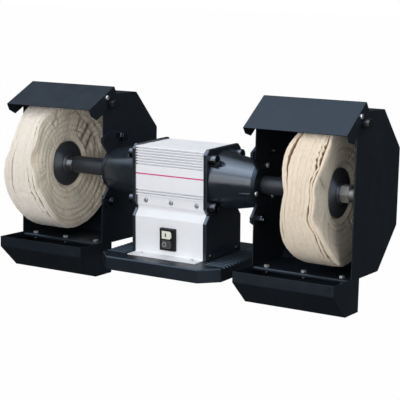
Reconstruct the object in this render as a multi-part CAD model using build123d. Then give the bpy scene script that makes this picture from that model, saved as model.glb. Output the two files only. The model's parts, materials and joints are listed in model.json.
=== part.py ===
from build123d import *
import os
from math import atan2, cos, degrees, hypot, radians, sin

# Twin-wheel polishing machine. Millimetres and degrees.
# X runs along the spindle, to the right seen from the front. Y points to the back, Z up.
# The origin is the middle of the base's underside, where the machine bolts to its stand.
# Most pieces are drawn about the spindle line and then lifted to its height.

# Cloth wheels
wheel_d = 300.0
wheel_rim_t = 84.0          # loose width of the cloth near the rim
wheel_core_t = 34.0         # width squeezed between the flanges
wheel_core_d = 118.0        # where the cloth starts to spread
wheel_spread = 34.0         # the cloth reaches its full width this much further out
wheel_edge_r = 16.0         # rounding of the cloth's rim

# Spindle line
axis_z = 193.0
journal_d = 25.0            # in the bearings and under the sleeves
arbor_d = 22.0              # threaded ends that carry the wheels
rotor_seat_d = 30.0
sleeve_d = 39.0
sleeve_gap = 15.0           # bright collar left bare between sleeve and flange
flange_d = 102.0
flange_rim_t = 4.0
flange_t = 12.0
flange_hub_d = 46.0
flange_hub_h = 4.0          # hub stands this far above the dish
flange_dish_d = 58.0        # dish round the hub
flange_dish_lip = 1.0
flange_bite = 10.0          # the flange bites at its rim only
flange_recess = 1.2
collar_d = 34.0
collar_taper = 2.0
edge_bevel = 1.0            # broken edges of turned pieces
nut_af = 34.0
nut_t = 19.0
nut_bevel = 2.0
arbor_stub = 9.0            # thread that stands out of the nut
arbor_end_gap = 16.8        # from the thread's end to the hood's outer plate
turn_gap = 0.05             # radial gap of pieces threaded on the shaft

# Bearings
bearing_d = 52.0
bearing_w = 15.0
bearing_ring_d = 34.0       # where the turning ring meets the seal
bearing_gap = 0.08
washer_t = 1.2              # preload washer behind the left bearing
sleeve_nose_d = 31.0        # sleeve end that presses on the inner ring
sleeve_nose = 3.0
shaft_step = 2.0            # shoulder that the bearings stop against

# Motor housing, an extrusion with fins along its length
housing_len = 173.0
housing_w = 135.0
housing_up = 68.0           # spindle line to the top
housing_down = 64.0         # spindle line to the underside
housing_corner_r = 1.5
flank_w = 121.0             # the flanks step in to this under the fins
flank_top = -37.5
flank_low = -57.0           # the lower corners are cut off from here
toe_w = 108.0               # width of the underside
fin_pitch = 5.8
fin_groove = 2.8
fin_depth = 6.0
fin_upper_count = 7
fin_upper_z = 29.7          # lowest of the upper grooves
fin_lower_count = 2
fin_lower_z = -33.0         # lowest of the lower grooves
top_groove_w = 6.0
top_groove_depth = 2.0
stator_d = 116.0
stator_len = 80.0
stator_bore_d = 72.0
air_gap = 0.4
winding_len = 20.0
winding_in_d = 80.0
winding_out_d = 108.0
winding_bevel = 5.5
cage_ring_t = 6.0
cage_ring_w = 6.5
cage_ring_drop = 1.5        # below the rotor's surface

# End shields: plate, leg and conical snout in one casting
shield_t = 8.0
shield_lip = 3.0            # plate stands this far out beyond the housing
shield_top_lip = 4.0
shield_corner = 10.0
shield_bevel = 1.5
snout_len = 91.8
snout_root_d = 128.0
snout_end_d = 95.0
snout_throat_d = 46.0       # bore that the sleeve turns in
snout_core_d = 112.0        # hollow at the motor end
snout_wall_end_d = 72.0     # hollow just before the bearing seat
snout_shoulder = 15.0       # end of the bearing seat to the snout's end
seat_lead = 8.0             # the bearing seat runs this far past the bearing
snout_rib_len = 26.0
snout_rib_w = 3.0
snout_rib_h = 2.5
snout_rib_angle = 197.0
cap_screw_y = 52.0
cap_screw_z = 50.0
cap_head_d = 23.0
cap_head_len = 15.0
cap_head_bevel = 1.0
cap_shank_d = 10.0
cap_grip = 16.0             # thread in the housing
cap_socket_af = 10.0
cap_socket_depth = 7.0
cap_pocket_gap = 2.5        # scallop in the snout round each head
screw_gap = 0.3             # clearance holes, round the screw

# Pedestal: bent covers front and back, legs of the shields at the sides
punch = 12.0                # length of the tool that cuts holes in sheets
cover_t = 1.5
pedestal_d = 137.0          # between the covers
waist_y = 55.5              # the covers pinch in to this above the panel
waist_z = -68.0
waist_r = 8.0
panel_top_z = -84.0
band_low = -58.0            # the covers' bands lie on the flanks down to here
band_gap = 1.0              # under the lowest fin
foot_len = 33.0             # foot flange on the base
foot_trim = 16.0            # the rear foot stops this far short of the legs
bend_r = 3.0
band_screw_z = -49.3
band_screw_pitch = 64.5
foot_screw_x = 65.0
foot_screw_in = 13.0        # from the panel to the foot screws
small_screw_d = 4.0
small_head_d = 9.0
small_head_h = 2.4
small_head_round = 1.0
small_grip = 6.0
leg_margin = 2.0            # leg stands proud of the cover's panel
leg_screw_y = 54.0
leg_screw_up = 9.0          # above the base's top
leg_pad = (14.0, 24.0, 18.0)

# Base casting
base_w = 302.0
base_d = 280.0
base_h = 29.0
base_corner = 36.0
base_bevel = 2.5
base_wall = 9.0
base_deck = 13.0
mount_x = 226.0             # spacing of the tapped holes underneath
mount_y = 180.0
mount_hole_d = 8.5
mount_boss_d = 26.0
mount_depth = 20.0
rib_pitch = 12.0
rib_groove = 8.0
rib_start = 4.0             # from the leg to the start of the ribs
rib_field_d = 200.0

# Switch, terminal block and cable gland
switch_w = 38.0
switch_h = 48.0
switch_d = 9.0
switch_z = 66.5
switch_bevel = 2.0
switch_back_w = 30.0
switch_back_h = 42.0
switch_back_d = 26.0
button_w = 24.0
button_h = 17.0
button_gap = 0.2
button_pitch = 20.5
button_proud = 1.2
button_len = 6.0
button_travel = 3.0
button_corner = 4.0
button_round = 0.8
button_rest = 0.5           # left under a pressed button
panel_gap = 0.5             # cut-outs in the covers, round what passes through
gland_x = 45.0
gland_z = 62.0
gland_d = 20.0
gland_af = 24.0
gland_bore_d = 9.0
gland_nut_t = 6.0
gland_dome = 16.0
gland_dome_round = 3.0
gland_body_wall = 9.0
gland_tail = 12.0           # inside the pedestal
gland_lip = 2.5
block_size = (44.0, 22.0, 16.0)
block_y = 20.0
block_wells = 4
block_well_d = 6.0
block_well_pitch = 10.0
block_well_depth = 8.0

# Hoods: bent sheet boxes, open at the front, that turn on slotted brackets
sheet_t = 2.0
hood_w = 227.5
hood_gap = 15.5             # wheel rim to the inside of the hood
hood_corner = 86.0          # slanted corners at the back
hood_front = 43.5           # spindle line to the open front
hood_tilt = 2.0             # leans back by this much
hood_bend_r = 4.0
hood_lip = 5.0              # turned-down front edge of the floor
hood_top_cut = 28.0         # the roof sheet starts this far behind the front
bracket_t = 6.0
bracket_w = 100.0
bracket_h = 172.0
bracket_top_w = 52.0
bracket_wide = (62.0, 73.0)  # the arms have their full width between these heights
bracket_neck_w = 56.0
bracket_neck_z = 38.0
bracket_disc_d = 93.0
disc_gap = 1.0
mouth_w = 116.0             # opening of the hood's plate towards the front, beside the disc
slide_gap = 0.2             # between sliding flat faces
bracket_screw_r = 41.0
bracket_screw_d = 6.0
bracket_screw_head_d = 11.0
bracket_screw_head_h = 3.4
bracket_screw_grip = 12.0
bracket_screw_first = 79.0  # angle of the first screw, from the back
bracket_screws_n = 3
hood_bolt_r = 73.5
hood_bolt_angle = 75.0
hood_bolt_d = 10.0
hood_bolt_af = 17.0
hood_bolt_head = 6.4
hood_bolt_nut = 8.0
hood_bolt_stub = 4.0
hood_bolt_gap = 0.4         # slot wall to bolt
hood_washer_d = 21.0
hood_washer_t = 2.0
hood_swing = 15.0           # each way, set by the curved slots

# Visors over the hoods
visor_rest_left = 27.3      # front edge down, measured from the hood's roof
visor_rest_right = 36.4
visor_high = 19.0
visor_low = 38.5
visor_t = 1.5
visor_fwd = 68.0            # pivot to the front edge
visor_back = 36.0           # pivot to the rear edge
visor_over = 9.0            # pivot to the top face
visor_ear = 34.5            # depth of the ears
visor_ear_front = 16.5
visor_ear_cut = 14.0
visor_ear_back = 17.0       # ears keep their full depth to this far behind the pivot
visor_ear_rear = 22.0       # depth of the ears at the rear edge
visor_rear_lip = 12.0
visor_bend_r = 2.0
visor_fold_r = 1.2
visor_gap = 0.3             # ear to hood plate
pivot_drop = 7.6            # below the roof
pivot_back = 9.9            # behind the open front
pivot_clear = 7.0           # hood plate left round the pivot
pivot_d = 6.0
pivot_head_d = 10.5
pivot_head_h = 3.4
head_round = 2.0            # button heads
pivot_gap = 0.05
nut_small_af = 10.0
nut_small_t = 5.0
knob_y = 13.4               # clamp knob, seen from the pivot
knob_z = -15.0
knob_d = 22.0
knob_len = 12.0
knob_neck_d = 13.0
knob_neck = 3.0
knob_flutes = 8
knob_flute_d = 4.0
stud_d = 6.0
stud_gap = 0.1

# Dust trays under the hoods
tray_front = 122.5          # spindle line to the front wall
tray_rise = 4.2             # front wall's top above the hood's floor
tray_wall = 23.1            # height of the front wall
tray_depth = 69.1           # hood's floor to the tray's bottom
tray_toe = 67.0             # spindle line to the front of the bottom
tray_heel = 7.0             # spindle line to the rear wall
tray_t = 1.5
tray_ledge = 30.0           # flange under the hood's floor
tray_bend_r = 2.5
tray_screw_back = 14.0      # behind the open front
tray_screw_pitch = 86.0
tray_screw_d = 6.0
tray_head_af = 10.0
tray_head_h = 4.0
tray_nut_t = 5.0
tray_stub = 4.0
lip_gap = 1.0

# Places that follow from the sizes above
housing_end = housing_len / 2
shield_face = housing_end + shield_t
snout_end = shield_face + snout_len
bracket_face = snout_end + bracket_t
hood_in = bracket_face + slide_gap
hood_out = hood_in + hood_w
hood_r = wheel_d / 2 + hood_gap + sheet_t
wheel_x = hood_out - sheet_t - arbor_end_gap - arbor_stub - nut_t - flange_t - wheel_core_t / 2
flange_in = wheel_x - wheel_core_t / 2 - flange_t
flange_out = wheel_x + wheel_core_t / 2 + flange_t
arbor_end = flange_out + nut_t + arbor_stub
sleeve_end = flange_in - sleeve_gap
seat_end = snout_end - snout_shoulder
cover_face = pedestal_d / 2 + cover_t
pivot_y = pivot_back - hood_front
pivot_z = hood_r - pivot_drop
switch_face = -cover_face - switch_d

lift = Pos(0, 0, axis_z)
hood_frame = lift * Rot(-hood_tilt, 0, 0)
UPWARD = (Align.CENTER, Align.CENTER, Align.MIN)
DOWNWARD = (Align.CENTER, Align.CENTER, Align.MAX)


def along_x(sketch, start, end):
    """Extrude a sketch drawn in (Y, Z) from one X to another."""
    return extrude(Plane.YZ.offset(start) * sketch, end - start)


def rod_x(diameter, start, end, y=0.0, z=0.0):
    return along_x(Pos(y, z) * Circle(diameter / 2), start, end)


def hex_x(across_flats, start, end, y=0.0, z=0.0):
    hexagon = RegularPolygon(across_flats / 2, 6, major_radius=False)
    return along_x(Pos(y, z) * hexagon, start, end)


def turned(*points):
    """Revolve a closed outline of (X, radius) points about the spindle line."""
    return revolve(make_face(Polyline(*points, close=True)), Axis.X)


def bent_sheet(points, radii, thickness):
    """Section of a bent sheet: corners of one face in (Y, Z), thickened to the left of their path.

    There is one inner bend radius for each corner between the ends.
    """
    corners = [Vector(*point) for point in points]
    runs = [(b - a).normalized() for a, b in zip(corners, corners[1:])]
    normals = [Vector(-run.Y, run.X) for run in runs]
    near, far = [], []
    shifted = [corners[0] + normals[0] * thickness]
    for corner, radius, before, after in zip(corners[1:-1], radii, normals, normals[1:]):
        shifted.append(corner + (before + after) * (thickness / (1 + before.dot(after))))
        left_turn = before.cross(after).Z > 0
        near.append(radius + thickness if left_turn else radius)
        far.append(radius if left_turn else radius + thickness)
    shifted.append(corners[-1] + normals[-1] * thickness)
    edges = FilletPolyline(*corners, radius=near).edges() + FilletPolyline(*shifted, radius=far).edges()
    return make_face([*edges, Line(corners[0], shifted[0]), Line(corners[-1], shifted[-1])])


def other_side(shape):
    return mirror(shape, about=Plane.YZ)


def polar(radius, angle):
    return radius * cos(radians(angle)), radius * sin(radians(angle))


def base_plate():
    """Cast plate with cut corners, ribbed wings, a hollow underside and tapped bosses."""
    outline = chamfer(Rectangle(base_w, base_d).vertices(), base_corner)
    body = extrude(outline, base_h)
    body = chamfer(body.faces().sort_by(Axis.Z)[-1].edges(), base_bevel)
    body -= extrude(offset(outline, -base_wall, kind=Kind.INTERSECTION), base_h - base_deck)
    rib_from = shield_face + rib_start
    rib_len = base_w / 2 - rib_from
    groove = Rot(45, 0, 0) * Box(rib_len, rib_groove / 2**0.5, rib_groove / 2**0.5)
    rows = int(rib_field_d / rib_pitch)
    for side in (-1, 1):
        for y in (mount_y / 2, -mount_y / 2):
            boss = Cylinder(mount_boss_d / 2, base_h - base_deck, align=UPWARD)
            hole = Cylinder(mount_hole_d / 2, mount_depth, align=UPWARD)
            body += Pos(side * mount_x / 2, y, 0) * boss
            body -= Pos(side * mount_x / 2, y, 0) * hole
        for row in range(rows):
            y = (row - (rows - 1) / 2) * rib_pitch
            body -= Pos(side * (rib_from + rib_len / 2), y, base_h) * groove
        for x, y in foot_screw_places():
            hole = Cylinder(small_screw_d / 2, small_grip, align=DOWNWARD)
            body -= Pos(x, side * y, base_h) * hole
        for y in (-leg_screw_y, leg_screw_y):
            pad = Box(*leg_pad, align=(Align.MAX, Align.CENTER, Align.MIN))
            pad = Pos(housing_end, y, base_h) * pad
            pad -= rod_x(small_screw_d, housing_end - small_grip, housing_end, y, base_h + leg_screw_up)
            body += pad if side > 0 else other_side(pad)
    return body


def cover_profile():
    """Front cover in (Y, Z) about the spindle line: foot, panel, waist and band on the housing's flank."""
    floor = base_h - axis_z
    points = [
        (-pedestal_d / 2 - foot_len, floor),
        (-pedestal_d / 2, floor),
        (-pedestal_d / 2, panel_top_z),
        (-waist_y, waist_z),
        (-flank_w / 2, band_low),
        (-flank_w / 2, flank_top - band_gap),
    ]
    return bent_sheet(points, (bend_r, bend_r, waist_r, bend_r), cover_t)


def band_screw_places():
    """Places on the housing's front flank, each with its Z axis pointing out through the cover's band."""
    return [Pos(x * band_screw_pitch, -flank_w / 2, band_screw_z) * Rot(90, 0, 0) for x in (-1, 0, 1)]


def foot_screw_places():
    """Screws in the front cover's foot, in (X, Y)."""
    y = -pedestal_d / 2 - foot_screw_in
    return [(-foot_screw_x, y), (foot_screw_x, y)]


def cover(front):
    end = housing_end - slide_gap
    sheet = along_x(cover_profile(), -end, end)
    for place in band_screw_places():
        sheet -= place * Cylinder(small_screw_d / 2, punch)
    for x, y in foot_screw_places():
        sheet -= Pos(x, y, base_h - axis_z) * Cylinder(small_screw_d / 2, punch)
    sheet = lift * sheet
    if front:
        window = Box(switch_back_w + 2 * panel_gap, punch, switch_back_h + 2 * panel_gap)
        return sheet - Pos(0, -cover_face, switch_z) * window
    sheet -= Pos(-gland_x, -cover_face, gland_z) * Rot(90, 0, 0) * Cylinder(gland_d / 2 + panel_gap, punch)
    for side in (-1, 1):
        corner = Pos(side * end, -cover_face - bend_r - foot_len, base_h)
        sheet -= corner * Box(2 * foot_trim, 2 * foot_len, punch)
    return Rot(0, 0, 180) * sheet


def pan_screw(grip):
    """Small screw along +Z, its head's seat at the origin."""
    head = Cylinder(small_head_d / 2, small_head_h, align=UPWARD)
    head = fillet(head.edges().group_by(Axis.Z)[-1], small_head_round)
    shank = Cylinder(small_screw_d / 2, grip, align=DOWNWARD)
    return head + shank


def cover_screws():
    screws = []
    for place in band_screw_places():
        screws.append(lift * place * Pos(0, 0, cover_t) * pan_screw(small_grip))
    for x, y in foot_screw_places():
        screws.append(Pos(x, y, base_h + cover_t) * pan_screw(small_grip))
    return screws + [Rot(0, 0, 180) * screw for screw in screws]


def leg_screws():
    screws = []
    for y in (-leg_screw_y, leg_screw_y):
        seat = Pos(shield_face, y, base_h + leg_screw_up) * Rot(0, 90, 0)
        screw = seat * pan_screw(shield_t + small_grip)
        screws += [screw, other_side(screw)]
    return screws


def shield_outline():
    """Plate above, pinched waist, leg below, in (Y, Z) about the spindle line."""
    floor = base_h - axis_z
    wide = housing_w / 2 + shield_lip
    leg = cover_face + leg_margin
    top = housing_up + shield_top_lip
    half = [
        (leg, floor),
        (leg, panel_top_z),
        (waist_y + cover_t + leg_margin, waist_z),
        (wide, waist_z + wide - waist_y),
        (wide, top - shield_corner),
        (wide - shield_corner, top),
    ]
    return make_face(Polyline(*half, *[(-y, z) for y, z in reversed(half)], close=True))


def end_shield():
    """Right end shield: bevelled plate with leg, hollow snout, bearing seat, screw scallops and ribs."""
    plate = along_x(shield_outline(), housing_end, shield_face)
    plate = chamfer(plate.faces().sort_by(Axis.X)[-1].edges(), shield_bevel)
    root_r = snout_root_d / 2
    end_r = snout_end_d / 2
    snout = turned(
        (housing_end, 0), (housing_end, root_r), (shield_face, root_r), (snout_end - edge_bevel, end_r),
        (snout_end, end_r - edge_bevel), (snout_end, 0))
    rib_x = snout_end - edge_bevel - snout_rib_len / 2
    rib_r = end_r + (root_r - end_r) * snout_rib_len / 2 / snout_len
    rib = Box(snout_rib_len, 2 * snout_rib_h, snout_rib_w)
    body = plate + snout + Rot(snout_rib_angle - 180, 0, 0) * Pos(rib_x, -rib_r, 0) * rib
    seat_start = seat_end - bearing_w - seat_lead
    hollow = turned(
        (housing_end, 0), (housing_end, snout_core_d / 2), (seat_start, snout_wall_end_d / 2),
        (seat_start, bearing_d / 2), (seat_end, bearing_d / 2), (seat_end, snout_throat_d / 2),
        (snout_end, snout_throat_d / 2), (snout_end, 0))
    body -= hollow
    pocket_d = cap_head_d + 2 * cap_pocket_gap
    for y in (-cap_screw_y, cap_screw_y):
        for z in (-cap_screw_z, cap_screw_z):
            body -= rod_x(pocket_d, shield_face, snout_end, y, z)
            body -= rod_x(cap_shank_d + 2 * screw_gap, housing_end, shield_face, y, z)
    leg_screw_z = base_h + leg_screw_up - axis_z
    for y in (-leg_screw_y, leg_screw_y):
        body -= rod_x(small_screw_d + 2 * screw_gap, housing_end, shield_face, y, leg_screw_z)
    for y, z in bracket_screw_places():
        body -= rod_x(bracket_screw_d, snout_end - bracket_screw_grip, snout_end, y, z)
    return body


def end_shield_screws():
    """Socket head cap screws through the right shield into the housing."""
    screws = []
    for y in (-cap_screw_y, cap_screw_y):
        for z in (-cap_screw_z, cap_screw_z):
            screw = rod_x(cap_head_d, shield_face, shield_face + cap_head_len, y, z)
            screw = chamfer(screw.edges().group_by(Axis.X)[-1], cap_head_bevel)
            screw += rod_x(cap_shank_d, housing_end - cap_grip, shield_face, y, z)
            head_end = shield_face + cap_head_len
            screw -= hex_x(cap_socket_af, head_end - cap_socket_depth, head_end, y, z)
            screws.append(screw)
    return screws


def motor_housing():
    """Extruded housing: fins front and back, stepped flanks below them, round bore for the stator."""
    half_w = housing_w / 2
    half_flank = flank_w / 2
    half = [
        (half_w, housing_up), (half_w, flank_top), (half_flank, flank_top), (half_flank, flank_low),
        (toe_w / 2, -housing_down)]
    profile = make_face(Polyline(*half, *[(-y, z) for y, z in reversed(half)], close=True))
    profile = fillet(profile.vertices().group_by(Axis.Y)[-1], housing_corner_r)
    rows = [fin_upper_z + n * fin_pitch for n in range(fin_upper_count)]
    rows += [fin_lower_z + n * fin_pitch for n in range(fin_lower_count)]
    for side in (-1, 1):
        for z in rows:
            profile -= Pos(side * half_w, z) * Rectangle(2 * fin_depth, fin_groove)
    profile -= Pos(0, housing_up) * Rectangle(top_groove_w, 2 * top_groove_depth)
    profile -= Circle(stator_d / 2)
    body = along_x(profile, -housing_end, housing_end)
    for turn in (0, 180):
        for place in band_screw_places():
            body -= Rot(0, 0, turn) * place * Cylinder(small_screw_d / 2, 2 * small_grip)
    for y in (-cap_screw_y, cap_screw_y):
        for z in (-cap_screw_z, cap_screw_z):
            hole = rod_x(cap_shank_d, housing_end - cap_grip, housing_end, y, z)
            body -= hole + other_side(hole)
    return body


def stator_core():
    return turned(
        (-stator_len / 2, stator_bore_d / 2), (-stator_len / 2, stator_d / 2),
        (stator_len / 2, stator_d / 2), (stator_len / 2, stator_bore_d / 2))


def stator_windings():
    """Coil heads at both ends of the stator."""
    start = stator_len / 2
    end = start + winding_len
    inner_r = winding_in_d / 2
    outer_r = winding_out_d / 2
    coil = turned(
        (start, inner_r), (start, outer_r), (end - winding_bevel, outer_r), (end, outer_r - winding_bevel),
        (end, inner_r + winding_bevel), (end - winding_bevel, inner_r))
    return [coil, other_side(coil)]


def bearing_start(preloaded):
    """Motor-side face of a bearing; the preloaded one stands off by the washer."""
    return seat_end - bearing_w - (washer_t if preloaded else 0)


def bearing_rings(preloaded):
    start = bearing_start(preloaded)
    end = start + bearing_w
    seam = bearing_ring_d / 2
    outer = turned((start, seam), (start, bearing_d / 2), (end, bearing_d / 2), (end, seam))
    bore = journal_d / 2
    inner = turned((start, bore), (start, seam - bearing_gap), (end, seam - bearing_gap), (end, bore))
    return outer, inner


def preload_washer():
    ring = turned(
        (seat_end - washer_t, snout_throat_d / 2), (seat_end - washer_t, bearing_d / 2),
        (seat_end, bearing_d / 2), (seat_end, snout_throat_d / 2))
    return other_side(ring)


def shaft_half(preloaded):
    """One half of the shaft, from the middle to the threaded end."""
    shoulder = bearing_start(preloaded)
    seat = stator_len / 2 + cage_ring_t
    journal = journal_d / 2
    arbor = arbor_d / 2
    return turned(
        (0, 0), (0, rotor_seat_d / 2), (seat, rotor_seat_d / 2), (seat, journal + shaft_step),
        (shoulder, journal + shaft_step), (shoulder, journal), (flange_in, journal), (flange_in, arbor),
        (arbor_end - edge_bevel, arbor), (arbor_end, arbor - edge_bevel), (arbor_end, 0))


def spindle_shaft():
    return shaft_half(False) + other_side(shaft_half(True))


def rotor():
    """Laminated core with its cage rings."""
    outer_r = stator_bore_d / 2 - air_gap
    half = stator_len / 2
    end = half + cage_ring_t
    bore = rotor_seat_d / 2
    ring_out = outer_r - cage_ring_drop
    ring_in = ring_out - cage_ring_w
    return turned(
        (-end, ring_in), (-end, ring_out), (-half, ring_out), (-half, outer_r), (half, outer_r),
        (half, ring_out), (end, ring_out), (end, ring_in), (half, ring_in), (half, bore), (-half, bore),
        (-half, ring_in))


def sleeve(preloaded):
    """Painted tube over the shaft, with a nose that presses on the bearing."""
    start = bearing_start(preloaded) + bearing_w
    bore = journal_d / 2 + turn_gap
    body = sleeve_d / 2
    nose = sleeve_nose_d / 2
    return turned(
        (start, bore), (start, nose), (start + sleeve_nose, nose), (start + sleeve_nose, body),
        (sleeve_end - edge_bevel, body), (sleeve_end, body - edge_bevel), (sleeve_end, bore))


def shaft_collar():
    """Bright collar between the sleeve and the inner flange."""
    bore = journal_d / 2 + turn_gap
    outer = collar_d / 2
    return turned(
        (sleeve_end, bore), (sleeve_end, outer - collar_taper), (flange_in, outer), (flange_in, bore))


def flange_points(clamp, outward):
    """Dished flange: clamp is its face on the cloth, outward the way its hub points."""
    bore = arbor_d / 2 + turn_gap
    rim = flange_d / 2
    hub = flange_hub_d / 2
    dish = flange_dish_d / 2
    dish_t = flange_t - flange_hub_h
    bite = rim - flange_bite
    profile = [
        (flange_recess, bore), (flange_recess, bite - flange_recess), (0, bite), (0, rim),
        (flange_rim_t, rim), (dish_t + flange_dish_lip, dish + flange_dish_lip), (dish_t, dish),
        (dish_t, hub), (flange_t, hub - edge_bevel), (flange_t, bore)]
    return [(clamp + outward * depth, radius) for depth, radius in profile]


def inner_flange():
    return turned(*flange_points(wheel_x - wheel_core_t / 2, -1))


def outer_flange():
    return turned(*flange_points(wheel_x + wheel_core_t / 2, 1))


def spindle_nut():
    nut = hex_x(nut_af, flange_out, flange_out + nut_t)
    nut_end = flange_out + nut_t
    flat_r = nut_af / 2
    corner_r = flat_r / cos(radians(30))
    nut &= turned(
        (flange_out, 0), (flange_out, flat_r), (flange_out + nut_bevel, corner_r),
        (nut_end - nut_bevel, corner_r), (nut_end, flat_r), (nut_end, 0))
    return nut - rod_x(arbor_d + 2 * turn_gap, flange_out, nut_end)


def buffing_wheel():
    """Stacked cloth discs: squeezed at the core, spread and rounded at the rim."""
    bore = arbor_d / 2 + turn_gap
    core = wheel_core_t / 2
    rim = wheel_rim_t / 2
    rim_r = wheel_d / 2
    half = [
        (core, bore), (core, wheel_core_d / 2), (rim, wheel_core_d / 2 + wheel_spread),
        (rim, rim_r - wheel_edge_r), (rim - wheel_edge_r, rim_r)]
    outline = [(wheel_x + x, r) for x, r in half] + [(wheel_x - x, r) for x, r in reversed(half)]
    return turned(*outline)


def bracket_screw_places():
    step = 360 / bracket_screws_n
    return [polar(bracket_screw_r, bracket_screw_first + step * n) for n in range(bracket_screws_n)]


def hood_bolt_places():
    return [polar(hood_bolt_r, hood_bolt_angle + 180 * n) for n in range(2)]


def curved_slot(radius, middle, half_angle, width):
    """Slot along an arc about the spindle line, in (Y, Z)."""
    start = polar(radius, middle - half_angle)
    arc = RadiusArc(start, polar(radius, middle + half_angle), -radius)
    return SlotArc(arc, width)


def hood_bracket():
    """Waisted plate on the snout's end with a disc that fills the hood's cut-out, and two curved slots."""
    half = [(bracket_neck_w / 2, bracket_neck_z)]
    half += [(bracket_w / 2, z) for z in bracket_wide]
    half += [(bracket_top_w / 2, bracket_h / 2)]
    arm = make_face(Polyline(*half, *[(-y, z) for y, z in reversed(half)], close=True))
    outline = Circle(snout_end_d / 2) + arm + Rot(0, 0, 180) * arm
    for n in range(2):
        width = hood_bolt_d + 2 * hood_bolt_gap
        outline -= curved_slot(hood_bolt_r, hood_bolt_angle - hood_tilt + 180 * n, hood_swing, width)
    plate = along_x(outline, snout_end, bracket_face)
    plate += rod_x(bracket_disc_d, bracket_face, hood_in + sheet_t)
    plate -= rod_x(snout_throat_d, snout_end, hood_in + sheet_t)
    for y, z in bracket_screw_places():
        plate -= rod_x(bracket_screw_d, snout_end, hood_in + sheet_t, y, z)
    return plate


def round_head_x(diameter, height, face, outward, y, z):
    """Button head along X on the given face."""
    head = rod_x(diameter, *between(face, face + outward * height), y, z)
    rim = head.edges().group_by(Axis.X)[-1 if outward > 0 else 0]
    return fillet(rim, head_round)


def bracket_screws():
    face = hood_in + sheet_t
    screws = []
    for y, z in bracket_screw_places():
        screw = round_head_x(bracket_screw_head_d, bracket_screw_head_h, face, 1, y, z)
        screw += rod_x(bracket_screw_d, snout_end - bracket_screw_grip, face, y, z)
        screws.append(screw)
    return screws


def hood_outline():
    """Side of the hood in (Y, Z) about the spindle line; the top front corner is cut for the visor."""
    inner = hood_r - hood_corner
    high = radians(visor_high)
    low = radians(visor_low)
    top_cut = pivot_y - (pivot_clear - pivot_drop * cos(high)) / sin(high)
    front_cut = pivot_z + (pivot_clear - pivot_back * sin(low)) / cos(low)
    lug_y, lug_z = polar(pivot_clear / cos((low - high) / 2), 90 + (visor_high + visor_low) / 2)
    front = [(-hood_front, front_cut), (pivot_y + lug_y, pivot_z + lug_z), (top_cut, hood_r)]
    back = [(inner, hood_r), (hood_r, inner), (hood_r, -inner), (inner, -hood_r)]
    face = make_face(Polyline(*front, *back, (-hood_front, -hood_r), close=True))
    return fillet(face.vertices().filter_by(lambda v: v.X > inner - hood_bend_r), hood_bend_r)


def visor_holes():
    holes = Pos(pivot_y, pivot_z) * Circle(pivot_d / 2)
    return holes + Pos(pivot_y + knob_y, pivot_z + knob_z) * Circle(stud_d / 2 + stud_gap)


def hood_inner_plate():
    """Side towards the motor; its mouth lets it slip over the bracket's disc from behind."""
    hole_r = bracket_disc_d / 2 + disc_gap
    mouth = [(0, hole_r), (-hood_front - disc_gap, mouth_w / 2)]
    mouth = make_face(Polyline(*mouth, *[(y, -z) for y, z in reversed(mouth)], close=True))
    face = hood_outline() - Circle(hole_r) - mouth - visor_holes()
    for y, z in hood_bolt_places():
        face -= Pos(y, z) * Circle(hood_bolt_d / 2)
    return along_x(face, hood_in, hood_in + sheet_t)


def hood_outer_plate():
    return along_x(hood_outline() - visor_holes(), hood_out - sheet_t, hood_out)


def hood_wrapper():
    """Floor, slants, back and roof bent from one strip between the side plates."""
    inner = hood_r - hood_corner
    points = [
        (sheet_t - hood_front, -hood_r - hood_lip), (sheet_t - hood_front, -hood_r), (inner, -hood_r),
        (hood_r, -inner), (hood_r, inner), (inner, hood_r), (hood_top_cut - hood_front, hood_r)]
    strip = bent_sheet(points, [hood_bend_r - sheet_t] * (len(points) - 2), sheet_t)
    body = along_x(strip, hood_in + sheet_t, hood_out - sheet_t)
    for x in tray_screw_xs():
        body -= Pos(x, tray_screw_y(), -hood_r) * Cylinder(tray_screw_d / 2, punch)
    return body


def hood_bolts():
    """Bolts in the bracket's slots, with washers on the motor side and nuts inside the hood."""
    pieces = []
    slot_face = snout_end - slide_gap
    for y, z in hood_bolt_places():
        head_face = slot_face - hood_washer_t
        bolt = hex_x(hood_bolt_af, head_face - hood_bolt_head, head_face, y, z)
        bolt += rod_x(hood_washer_d, head_face, slot_face, y, z)
        nut_end = hood_in + sheet_t + hood_bolt_nut
        bolt += rod_x(hood_bolt_d, slot_face, nut_end + hood_bolt_stub, y, z)
        nut = hex_x(hood_bolt_af, hood_in + sheet_t, nut_end, y, z)
        pieces += [bolt, nut - rod_x(hood_bolt_d, hood_in, nut_end, y, z)]
    return pieces


def visor_profile():
    """Roof and rear lip of the visor in (Y, Z) about its pivot, lying level."""
    points = [(visor_back, visor_over - visor_rear_lip), (visor_back, visor_over), (-visor_fwd, visor_over)]
    return bent_sheet(points, [visor_bend_r], visor_t)


def visor_ear_outline():
    low = visor_over - visor_ear
    bend = visor_bend_r + visor_t
    ear = make_face(Polyline(
        (-visor_fwd, visor_over), (-visor_fwd, visor_over - visor_ear_front),
        (-visor_fwd + visor_ear_cut, low), (visor_ear_back, low), (visor_back, visor_over - visor_ear_rear),
        (visor_back, visor_over - bend), (visor_back - bend, visor_over), close=True))
    ear -= Circle(pivot_d / 2 + pivot_gap)
    radius = hypot(knob_y, knob_z)
    seat = degrees(atan2(knob_z, knob_y))
    middle = seat - (visor_high + visor_low) / 2
    return ear - curved_slot(radius, middle, (visor_low - visor_high) / 2, stud_d + 4 * stud_gap)


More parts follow.
